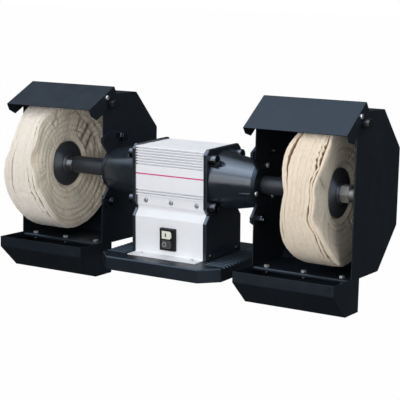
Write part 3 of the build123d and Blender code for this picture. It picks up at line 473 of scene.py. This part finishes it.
RIGHT_WHEEL = {
    "right_edge": (
        (122, 42), (131, 47), (142, 48), (152, 46), (162, 40), (169, 37), (176, 40), (185, 38),
        (190, 34), (197, 38), (203, 47), (213, 52), (228, 55), (245, 50), (270, 40), (310, 36),
        (350, 41), (400, 35), (440, 38)),
    "left_edge": (
        (122, -35), (136, -42), (146, -42), (154, -39), (163, -34), (173, -27), (181, -31), (190, -35),
        (204, -40), (216, -42), (228, -39), (243, -34), (270, -37), (310, -33), (350, -38), (400, -35),
        (440, -38)),
    "shares": (0.06, 0.08, 0.14, 0.16, 0.16, 0.15, 0.12, 0.06, 0.07),
    "looseness": (0.9, 0.5, 0.1, 0.05, 0.05, 0.2, 0.5, 0.8),
    "gaps": ((1, 138, 20, 6.5, 0.06), (6, 150, 15, 2.2, 0.45), (6, 186, 13, 2.2, 0.45),
             (6, 215, 16, 2.0, 0.3), (7, 140, 18, 3.8, 0.35), (7, 226, 14, 2.2, 0.45),
             (0, 200, 14, 1.2, 0.45)),
    "right_creases": (
        (4.2, 3.6, ((136, 212), (84, 204))), (4.0, 3.4, ((132, 158), (78, 164))),
        (3.6, 3.2, ((138, 232), (76, 226))), (3.8, 3.2, ((130, 128), (84, 136))),
        (3.0, 3.4, ((112, 300), (70, 306))), (3.0, 3.4, ((118, 60), (64, 66))),
        (1.8, 2.4, ((128, 180), (122, 204), (130, 226)))),
    "left_creases": (
        (3.5, 3.5, ((122, 70), (66, 76))), (3.0, 3.5, ((116, 190), (70, 182))),
        (2.4, 3.0, ((130, 140), (90, 134))),
        (2.0, 2.4, ((124, 250), (118, 276), (128, 300)))),
}


def ring_wave(rng, low, high, slope):
    """Smooth random wave round the wheel, about 1 in size."""
    orders = np.arange(low, high + 1)
    sizes = orders ** -slope
    sizes = sizes / np.sqrt((sizes ** 2).sum() / 2)
    phases = rng.uniform(0, tau, orders.size)
    return (sizes[:, None] * np.cos(np.outer(orders, angles) + phases[:, None])).sum(0)


def ease(value, low, high):
    t = np.clip((value - low) / (high - low), 0.0, 1.0)
    return t * t * (3 - 2 * t)


def away_from(angle):
    """Angle between each spoke and a given one, in degrees."""
    return np.abs((np.degrees(angles) - angle + 180.0) % 360.0 - 180.0)


def away_from_path(path, r):
    """Distance on the face from each spoke, at radius r, to a path of (radius, angle) points."""
    spots = r * np.stack((np.cos(angles), np.sin(angles)), 1)
    corners = np.array([(p * cos(radians(a)), p * sin(radians(a))) for p, a in path])
    nearest = np.full(SEGMENTS, np.inf)
    for start, end in zip(corners, corners[1:]):
        run = end - start
        along = np.clip((spots - start) @ run / (run @ run), 0.0, 1.0)
        nearest = np.minimum(nearest, np.linalg.norm(spots - start - along[:, None] * run, axis=1))
    return nearest


def wandering_edge(points):
    """Edge of the cloth round the wheel, through (angle, place) points, with its corners eased."""
    at, place = np.array(points, float).T
    edge = np.interp(np.degrees(angles), at % 360.0, place, period=360.0)
    soft = np.exp(-(away_from(0.0) / EDGE_EASING) ** 2)
    return np.real(np.fft.ifft(np.fft.fft(edge) * np.fft.fft(soft / soft.sum())))


def stack_of_leaves(rng, shape):
    """Middle and thickness of each leaf at the rim, round the wheel, with gaps that open and close."""
    low = wandering_edge(shape["left_edge"])
    high = wandering_edge(shape["right_edge"])
    count = len(shape["shares"])
    gaps = np.zeros((count, SEGMENTS))
    for n, loose in enumerate(shape["looseness"]):
        gaps[n + 1] = np.clip(ring_wave(rng, 1, 9, 0.7) - SHUT_BELOW, 0.0, None) * loose
    for n, angle, spread, size, torn in shape["gaps"]:
        ragged = 1.0 + torn * ring_wave(rng, 12, 70, 0.3)
        gaps[n + 1] += size * np.exp(-(away_from(angle) / spread) ** 2) * np.clip(ragged, 0.1, None)
    thick = np.array([
        share * (1 + LEAF_UNEVENNESS * ring_wave(rng, 2, 40, 0.6)) for share in shape["shares"]])
    thick = thick / thick.sum(0) * (high - low - gaps.sum(0))
    starts = low + np.cumsum(gaps, 0) + np.cumsum(thick, 0) - thick
    return starts + thick / 2, thick, np.clip(gaps / OPEN_GAP, 0.0, 1.0)


class Wrinkles:
    """Radial wrinkles that drift sideways along the spokes."""

    def __init__(self, rng, low, high, drift):
        self.orders = np.arange(low, high + 1)
        self.phases = rng.uniform(0, tau, self.orders.size)
        self.bends = rng.uniform(0, tau, 2)
        self.drift = drift

    def at(self, r):
        shift = self.drift * (sin(r / 17.0 + self.bends[0]) + 0.5 * sin(r / 7.0 + self.bends[1]))
        turns = np.outer(self.orders, angles + shift) + self.phases[:, None]
        return np.cos(turns).sum(0) * np.sqrt(2 / self.orders.size)


class WheelFace:
    """Wrinkles, creases and stitch lines of one outer face of a wheel."""

    def __init__(self, rng, creases):
        self.creases = creases
        self.limits = (SPREAD_FROM, *STITCH_RINGS, WHEEL_R)
        self.long = Wrinkles(rng, *LONG_WRINKLES)
        self.short = [Wrinkles(rng, *SHORT_WRINKLES) for _ in self.limits]
        self.strength = [np.clip(0.7 + 0.4 * ring_wave(rng, 2, 9, 0.5), 0.1, 1.4) for _ in self.limits]
        self.swell = ring_wave(rng, 2, 7, 0.6)
        self.wander = [ring_wave(rng, 1, 6, 0.8) for _ in STITCH_RINGS]
        self.pull = [np.clip(0.65 + 0.45 * ring_wave(rng, 1, 9, 0.4), 0.15, 1.2) for _ in STITCH_RINGS]

    def relief(self, r):
        """Depth of the folds at radius r, round the wheel, and the painted shade in them."""
        wrinkle = 0.9 * self.long.at(r)
        strength = np.zeros(SEGMENTS)
        puff = 0.0
        for n, (inner, outer) in enumerate(zip(self.limits, self.limits[1:])):
            inside = ease(r, inner - 3.0, inner + 3.0) * (1 - ease(r, outer - 3.0, outer + 3.0))
            if inside:
                wrinkle = wrinkle + 0.35 * inside * self.short[n].at(r)
                strength = strength + inside * self.strength[n]
                puff += inside * sin(pi * np.clip((r - inner) / (outer - inner), 0.0, 1.0))
        lines = np.exp(-1.9 * np.abs(wrinkle)) * strength
        swell = SWELL_DEPTH * self.swell * ease(r, 55.0, 80.0)
        depth = WRINKLE_DEPTH * lines + swell - PUFF_HEIGHT * puff
        # Painted shade along the wrinkle lines, and a little more towards the rim.
        dark = WRINKLE_SHADE * lines + 0.06 * ease(r, 114.0, BRIM)
        for deep, width, path in self.creases:
            crease = deep * np.exp(-away_from_path(path, r) / width)
            depth = depth + crease
            dark = dark + CREASE_SHADE * crease
        for ring, wander, pull in zip(STITCH_RINGS, self.wander, self.pull):
            stitch = pull * np.exp(-((r - ring - STITCH_WANDER * wander) / 1.5) ** 2)
            depth = depth + STITCH_DEPTH * stitch
            dark = dark + STITCH_SHADE * stitch
        grow = ease(r, SPREAD_FROM, SPREAD_FROM + 5.0)
        return depth * grow, np.clip(dark * grow, 0.0, 1.0)


# Place across the leaf, and the drop there where the gap is shut and where it is open
SHOULDER = ((0.93, 0.35, 1.7), (0.985, 0.6, 4.0), (1.0, SHOULDER_DROP, SHOULDER_DROP))


def leaf_edge(plies, open_low, open_high):
    """Section over a leaf's edge, (drop below the rim, place across the leaf), one ridge for each ply.

    A leaf's shoulders drop where a gap opens beside it, and meet the next leaf where it is shut.
    """
    places = np.linspace(-0.86, 0.86, 2 * plies - 1)
    ridges = [(0.4 * (n % 2), place) for n, place in enumerate(places)]
    low = [(shut + (wide - shut) * open_low, -across) for across, shut, wide in reversed(SHOULDER)]
    high = [(shut + (wide - shut) * open_high, across) for across, shut, wide in SHOULDER]
    return low + ridges + high


class ClothWheel:
    """Builds the mesh of one wheel, leaf by leaf."""

    def __init__(self, side, seed, shape):
        self.rng = np.random.default_rng(seed)
        self.centre = side * WHEEL_X
        self.middles, self.thick, self.opened = stack_of_leaves(self.rng, shape)
        self.ends = {-1: self.middles[0] - self.thick[0] / 2, 1: self.middles[-1] + self.thick[-1] / 2}
        self.faces_of = {
            -1: WheelFace(self.rng, shape["left_creases"]),
            1: WheelFace(self.rng, shape["right_creases"])}
        self.plain_half = (self.ends[1] - self.ends[-1]).mean() / 2
        self.lumps = np.clip(0.6 + 0.5 * ring_wave(self.rng, 1, 5, 0.8), 0.0, None)
        self.rings = []
        self.quads = []
        self.fold_shade = []
        self.rim = []
        for n in range(len(self.middles)):
            self.add_leaf(n)

    def face_row(self, r, end):
        """Row of an outer face: the cloth swells round the flange, then spreads evenly to the rim."""
        spread = 0.35 * ease(r, SPREAD_FROM - 1.0, SPREAD_FROM + 10.0)
        spread += 0.65 * np.clip((r - SPREAD_FROM) / (WHEEL_R - SPREAD_FROM), 0.0, 1.0)
        plain = end * (CORE_HALF - 0.15 + (self.plain_half - CORE_HALF) * spread)
        place = plain + (self.ends[end] - plain) * np.clip((r - 84.0) / (BRIM - 84.0), 0.0, 1.0) ** 2.2
        depth, dark = self.faces_of[end].relief(r)
        return r, place - end * depth * (1 - 0.5 * ease(r, 126.0, BRIM)), dark, 0.0

    def add_rows(self, rows):
        """Closed ring of rows; a row is (radius, place along the spindle, how much painted shade, how
        much rim).
        """
        first = len(self.rings) * SEGMENTS
        for radius, x, painted_shade, on_rim in rows:
            radius = np.broadcast_to(radius, angles.shape)
            ring = (self.centre + x, radius * np.cos(angles), AXIS_Z + radius * np.sin(angles))
            self.rings.append(np.stack(ring, 1))
            self.fold_shade.append(np.broadcast_to(painted_shade, angles.shape))
            self.rim.append(np.broadcast_to(on_rim, angles.shape))
        here = np.arange(SEGMENTS)
        onward = np.roll(here, -1)
        for j in range(len(rows)):
            a = first + j * SEGMENTS
            b = first + (j + 1) % len(rows) * SEGMENTS
            self.quads.append(np.stack((a + here, a + onward, b + onward, b + here), 1))

    def add_leaf(self, n):
        last = len(self.middles) - 1
        end = {0: -1, last: 1}.get(n, 0)
        tuck = END_TUCK if end else NEXT_TUCK if n in (1, last - 1) else 0.0
        fray = np.abs(ring_wave(self.rng, 9, 80, 0.2))
        radius = WHEEL_R - 0.3 - tuck - self.lumps - 0.3 * fray
        radius = radius - 0.35 * np.abs(ring_wave(self.rng, 2, 8, 0.6))
        half = self.thick[n] / 2
        brim = self.faces_of[end].relief(BRIM)[0] if end else 0.0
        opened_high = 0.35 if n == last else self.opened[n + 1]
        opened_low = 0.35 if n == 0 else self.opened[n]
        rows = []
        plies = max(2, round(self.thick[n].mean() / PLY_PITCH))
        for drop, across in leaf_edge(plies, opened_low, opened_high):
            jitter = 0.12 * np.abs(ring_wave(self.rng, 8, 90, 0.4)) if abs(across) < 0.9 else 0.0
            outside = end and across * end > 0.9
            # Painted shade: darker the further down into a gap beside the leaf; on the outermost face
            # only a little.
            painted_shade = 0.12 * ease(drop, 1.0, SHOULDER_DROP) if outside else 0.95 * ease(drop, 0.3, 6.0)
            on_rim = 1.0 - 0.8 * drop / SHOULDER_DROP if outside else 1.0
            sunk = 0.5 * end * brim if outside else 0.0
            rows.append((radius - drop - jitter, self.middles[n] + across * half - sunk, painted_shade, on_rim))
        if not end:
            # Rows down inside the stack, hidden, in nearly full painted shade.
            for drop, across in ((18.0, 0.9), (LEAF_DEPTH, 0.5), (LEAF_DEPTH, -0.5), (18.0, -0.9)):
                pulled = self.middles[n] * (1 - 0.22 * drop / LEAF_DEPTH)
                rows.append((radius - drop, pulled + across * half, 0.95, 1.0))
            self.add_rows(rows)
            return
        radii = (14.0, 30.0, 46.0, *np.arange(SPREAD_FROM, BRIM - 1.0, 1.7))
        outer = [self.face_row(r, end) for r in radii]
        inner = []
        # Hidden inner face of the outermost leaf, in nearly full painted shade.
        for r in (132.0, 118.0, 104.0, 90.0, 76.0, 66.0, 58.0, 50.0, 14.0):
            inner.append((r, self.face_row(r, end)[1] - end * (3.0 if r > 110.0 else 7.0), 0.9, 0.0))
        if end > 0:
            self.add_rows(outer + rows[::-1] + inner)
        else:
            self.add_rows(inner[::-1] + rows[::-1] + outer[::-1])

    def piece(self, name):
        attributes = {"fold_shade": np.concatenate(self.fold_shade), "rim": np.concatenate(self.rim)}
        quads = np.concatenate(self.quads).tolist()
        verts = np.concatenate(self.rings)
        wheel = piece_from(name, verts, quads, "cotton_cloth", "spindle", attributes)
        wheel.data.set_sharp_from_angle(angle=radians(50.0))
        return wheel


left_wheel = ClothWheel(-1, LEFT_SEED, LEFT_WHEEL).piece("left_cloth_wheel")
right_wheel = ClothWheel(1, RIGHT_SEED, RIGHT_WHEEL).piece("right_cloth_wheel")
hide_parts("left_buffing_wheel")
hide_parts("right_buffing_wheel")


# Threads, marks and screw recesses, which the part's source leaves out; the recesses are dark crosses
# laid on the heads, painted shade, with dark rings of painted shadow round some heads
THREAD_PITCH = 2.0
THREAD_HEIGHT = 0.65
THREAD_LEAD = 0.9           # nut to the start of the thread
THREAD_RUNOUT = 1.8         # end of the thread to the end of the shaft
THREAD_STEPS = 60           # to each turn
START_BAR = (3.0, 9.0)
START_MARK_X = -2.2
STOP_RING = (4.9, 4.0)
STOP_MARK_X = -5.4
MARK_RISE = 0.2
SUNK = 0.2                  # how deep the marks and recesses reach into what carries them
RECESS_RISE = 0.06
HEAD_R = 4.5
# Dark rings round band screw heads: painted shadow of the gap round each head.
SHADOW_RING_R = 5.3
SHADOW_RING_RISE = 0.3
BAND_SCREW_XS = (-64.5, 0.0, 64.5)
BAND_SCREW_Z = 143.7
BAND_SCREW_FACE = 64.4
BAND_FACE = 62.0
BAND_CROSS = 1.5
FOOT_SCREW_X = 65.0
FOOT_SCREW_Y = 81.5
FOOT_SCREW_FACE = 32.9
LEG_SCREW_Y = 54.0
LEG_SCREW_Z = 38.0
LEG_SCREW_FACE = 96.9
SMALL_CROSS = 1.9
BRACKET_SCREW_R = 41.0
BRACKET_SCREW_ANGLES = (79.0, 199.0, 319.0)
BRACKET_SCREW_FACE = 197.9
BRACKET_CROSS = 2.8
PIVOT_Y = -28.0
PIVOT_Z = 353.97
PIVOT_INNER_FACE = 187.1
PIVOT_OUTER_FACE = 425.4
PIVOT_CROSS = 2.7
FRONT = ((1, 0, 0), (0, 0, 1), (0, -1, 0))
REAR = ((-1, 0, 0), (0, 0, 1), (0, 1, 0))
UPPER = ((1, 0, 0), (0, 1, 0), (0, 0, 1))
RIGHT = ((0, 1, 0), (0, 0, 1), (1, 0, 0))
LEFT = ((0, -1, 0), (0, 0, 1), (-1, 0, 0))


def arbor_thread(name, side):
    """Helical ridge on the shaft's stub, from the nut to the bevelled end; left-handed on the left."""
    start = NUT_END + THREAD_LEAD
    length = ARBOR_END - THREAD_RUNOUT - start
    steps = int(length / THREAD_PITCH * THREAD_STEPS)
    share = np.linspace(0.0, 1.0, steps + 1)
    turn = share * length / THREAD_PITCH * tau
    crest = THREAD_HEIGHT * ease(share, 0.0, 0.12) * (1 - ease(share, 0.88, 1.0))
    rows = []
    root = ARBOR_R - SUNK
    top = ARBOR_R + crest
    for along, radius in ((-0.8, root), (-0.15, top), (0.15, top), (0.8, root)):
        x = side * (start + share * length + along)
        rows.append(np.stack((x, radius * np.cos(turn), AXIS_Z + radius * np.sin(turn)), 1))
    faces = [(0, 1, 2, 3), tuple(4 * steps + j for j in range(4))]
    for k in range(0, 4 * steps, 4):
        faces += [(k + j, k + (j + 1) % 4, k + 4 + (j + 1) % 4, k + 4 + j) for j in range(4)]
    thread = piece_from(name, np.stack(rows, 1).reshape(-1, 3), faces, "ground_steel", "spindle")
    thread.data.set_sharp_from_angle(angle=radians(30.0))


def low_plate(outline, rise, inset):
    """Closed plate in (u, v, height) on an outline of (u, v) points, drawn in a little at the top."""
    flat = np.asarray(outline, float)
    n = len(flat)
    verts = np.concatenate((np.c_[flat, np.full(n, -SUNK)], np.c_[flat * (1 - inset), np.full(n, rise)]))
    faces = [(j, (j + 1) % n, n + (j + 1) % n, n + j) for j in range(n)]
    return verts, faces + [tuple(range(n))[::-1], tuple(range(n, 2 * n))]


def low_ring(outer, inner, rise, steps=48):
    """Closed ring in (u, v, height) with sloping sides."""
    spin = np.arange(steps) * tau / steps
    loops = ((outer, -SUNK), (outer - 0.15, rise), (inner + 0.15, rise), (inner, -SUNK))
    rims = [np.stack((r * np.cos(spin), r * np.sin(spin), np.full(steps, h)), 1) for r, h in loops]
    verts = np.concatenate(rims)
    faces = []
    for a in range(4):
        b = (a + 1) % 4
        for j in range(steps):
            k = (j + 1) % steps
            faces.append((a * steps + j, a * steps + k, b * steps + k, b * steps + j))
    return verts, faces


def bar_outline(width, height, steps=12):
    """Upright bar with round ends."""
    swing = np.linspace(0.0, pi, steps)
    r = width / 2
    cap = [(r * cos(a), height / 2 - r + r * sin(a)) for a in swing]
    return cap + [(-u, -v) for u, v in cap]


def cross_outline(reach, arm, turn):
    """Cross of four arms, turned by an angle."""
    quarter = ((reach, -arm), (reach, arm), (arm, arm))
    points = []
    for n in range(4):
        c = cos(turn + n * pi / 2)
        s = sin(turn + n * pi / 2)
        points += [(u * c - v * s, u * s + v * c) for u, v in quarter]
    return points


def add_marks():
    face = SWITCH_FACE - BUTTON_PROUD
    bar = low_plate(bar_outline(*START_BAR), MARK_RISE, 0.06)
    ring = low_ring(*STOP_RING, MARK_RISE)
    half = BUTTON_PITCH / 2
    marks = (
        ("start", bar, START_MARK_X, half, "switch_black"),
        ("stop", ring, STOP_MARK_X, -half, "pale_plastic"))
    for name, (verts, faces), x, z, slot in marks:
        placed = np.array((x, face, SWITCH_Z + z)) + verts @ np.array(FRONT, float)
        piece_from(f"{name}_mark", placed, faces, slot, f"{name}_button")


def add_recesses(name, body, heads, shadow_rings=()):
    """Dark crosses on screw heads, painted shade of their cross recesses, and dark rings round the heads
    of some, painted shadow of the gap round each head.

    A head is its place, the way it faces and the reach of its cross.
    """
    rng = np.random.default_rng(5)
    shapes = []
    for place, way, reach in heads:
        # A dark cross laid on the head: painted shade of its cross recess.
        cross = cross_outline(reach, 0.2 * reach, rng.uniform(0, pi / 2))
        shapes.append((low_plate(cross, RECESS_RISE, 0.0), place, way))
    # Dark rings round some heads: painted shadow of the gap round each head.
    shapes += [(low_ring(SHADOW_RING_R, HEAD_R - 0.1, SHADOW_RING_RISE), place, way) for place, way in shadow_rings]
    all_verts = []
    all_faces = []
    for (verts, faces), place, way in shapes:
        first = sum(len(part) for part in all_verts)
        all_verts.append(np.array(place) + verts @ np.array(way, float))
        all_faces += [tuple(first + j for j in face) for face in faces]
    recesses = piece_from(name, np.concatenate(all_verts), all_faces, "dark_screws", body)
    recesses.data.set_sharp_from_angle(angle=radians(30.0))


def machine_heads():
    """Screws of the covers' bands and feet, of the legs and of the hood brackets."""
    heads = []
    for x in BAND_SCREW_XS:
        for y, way in ((-BAND_SCREW_FACE, FRONT), (BAND_SCREW_FACE, REAR)):
            heads.append(((x, y, BAND_SCREW_Z), way, BAND_CROSS))
    for x in (-FOOT_SCREW_X, FOOT_SCREW_X):
        for y in (-FOOT_SCREW_Y, FOOT_SCREW_Y):
            heads.append(((x, y, FOOT_SCREW_FACE), UPPER, SMALL_CROSS))
    for y in (-LEG_SCREW_Y, LEG_SCREW_Y):
        for x, way in ((-LEG_SCREW_FACE, LEFT), (LEG_SCREW_FACE, RIGHT)):
            heads.append(((x, y, LEG_SCREW_Z), way, SMALL_CROSS))
    for angle in BRACKET_SCREW_ANGLES:
        y = BRACKET_SCREW_R * cos(radians(angle))
        z = AXIS_Z + BRACKET_SCREW_R * sin(radians(angle))
        for x, way in ((-BRACKET_SCREW_FACE, LEFT), (BRACKET_SCREW_FACE, RIGHT)):
            heads.append(((x, y, z), way, BRACKET_CROSS))
    return heads


def band_shadow_rings():
    """Dark rings round the band screws, on the faces of the covers: painted shadow round each head."""
    faces = ((-BAND_FACE, FRONT), (BAND_FACE, REAR))
    return [((x, y, BAND_SCREW_Z), way) for x in BAND_SCREW_XS for y, way in faces]


def pivot_heads(side):
    """Pivot screws of a visor, one at each side of its hood."""
    inward, outward = (LEFT, RIGHT) if side > 0 else (RIGHT, LEFT)
    ends = ((PIVOT_INNER_FACE, inward), (PIVOT_OUTER_FACE, outward))
    return [((side * x, PIVOT_Y, PIVOT_Z), way, PIVOT_CROSS) for x, way in ends]


arbor_thread("left_arbor_thread", -1)
arbor_thread("right_arbor_thread", 1)
add_marks()
add_recesses("machine_screw_recesses", "machine", machine_heads(), band_shadow_rings())
add_recesses("left_pivot_recesses", "left_hood", pivot_heads(-1))
add_recesses("right_pivot_recesses", "right_hood", pivot_heads(1))


def finish_nodes():
    """Each node takes its slot's finish; the collars are turned, unlike the screws of their slot."""
    for part in frame["record"]["subparts"]:
        mesh = nodes[part["node"]].data
        turned = part["node"].endswith("_spindle_collar")
        mesh.materials.clear()
        mesh.materials.append(finishes["turned_collar" if turned else part["material_slot"]])


def make_world():
    """White to the camera; for gloss a sky, bright above the front; soft light for the rest."""
    world = bpy.data.worlds.new("studio")
    scene.world = world
    world.use_nodes = True
    graph = Graph(world.node_tree)
    graph.tree.nodes.clear()
    path = graph.add("ShaderNodeLightPath").outputs
    way = graph.add("ShaderNodeTexCoord").outputs["Generated"]
    across, depth, height = graph.add("ShaderNodeSeparateXYZ", {0: way}).outputs
    rise = graph.math(
        "MULTIPLY", graph.remap(height, 0.3, 0.9, 0.0, 1.0), graph.remap(depth, -0.3, 0.45, 1.0, 0.0))
    sky = graph.mix(rise, SKY_LOW, SKY_HIGH)
    sky = graph.mix(graph.remap(across, 0.78, 0.97, 0.01, 0.7), sky, SKY_RIGHT)
    above = graph.math(
        "MULTIPLY", graph.remap(height, 0.3, 1.0, 0.0, 1.5), graph.remap(depth, -0.4, 0.5, 0.1, 1.9))
    even = graph.math("ADD", graph.remap(across, -1.0, 1.0, 0.1, 0.5), above)
    white = graph.add("ShaderNodeBackground", {"Color": WHITE, "Strength": 1.0})
    gloss = graph.add("ShaderNodeBackground", {"Color": sky, "Strength": 1.0})
    light = graph.add("ShaderNodeBackground", {"Color": EVEN_LIGHT, "Strength": even})
    shiny = graph.add(
        "ShaderNodeMixShader", {0: path["Is Glossy Ray"], 1: light.outputs[0], 2: gloss.outputs[0]})
    seen = graph.math("MAXIMUM", path["Is Camera Ray"], path["Is Transmission Ray"])
    both = graph.add("ShaderNodeMixShader", {0: seen, 1: shiny.outputs[0], 2: white.outputs[0]})
    graph.add("ShaderNodeOutputWorld", {"Surface": both.outputs[0]})


def make_floor():
    """Pale floor; the camera sees it white, with a trace of the machine's shadow."""
    mesh = bpy.data.meshes.new("floor")
    h = FLOOR_HALF
    corners = [(-h, -h, FLOOR_Z), (h, -h, FLOOR_Z), (h, h, FLOOR_Z), (-h, h, FLOOR_Z)]
    mesh.from_pydata(corners, [], [(0, 1, 2, 3)])
    floor = bpy.data.objects.new("floor", mesh)
    scene.collection.objects.link(floor)
    material = bpy.data.materials.new("floor")
    material.use_nodes = True
    graph = Graph(material.node_tree)
    graph.tree.nodes.clear()
    path = graph.add("ShaderNodeLightPath").outputs
    matt = graph.add("ShaderNodeBsdfDiffuse", {"Color": FLOOR_GREY})
    white = graph.add("ShaderNodeEmission", {"Color": WHITE, "Strength": 1.0})
    seen = graph.math("MULTIPLY", path["Is Camera Ray"], FLOOR_WHITENESS)
    both = graph.add("ShaderNodeMixShader", {0: seen, 1: matt.outputs[0], 2: white.outputs[0]})
    graph.add("ShaderNodeOutputMaterial", {"Surface": both.outputs[0]})
    mesh.materials.append(material)
    floor.visible_glossy = False


finish_nodes()
make_world()
make_floor()
for lamp_name, lamp in LAMPS.items():
    make_lamp(lamp_name, *lamp)
make_camera()
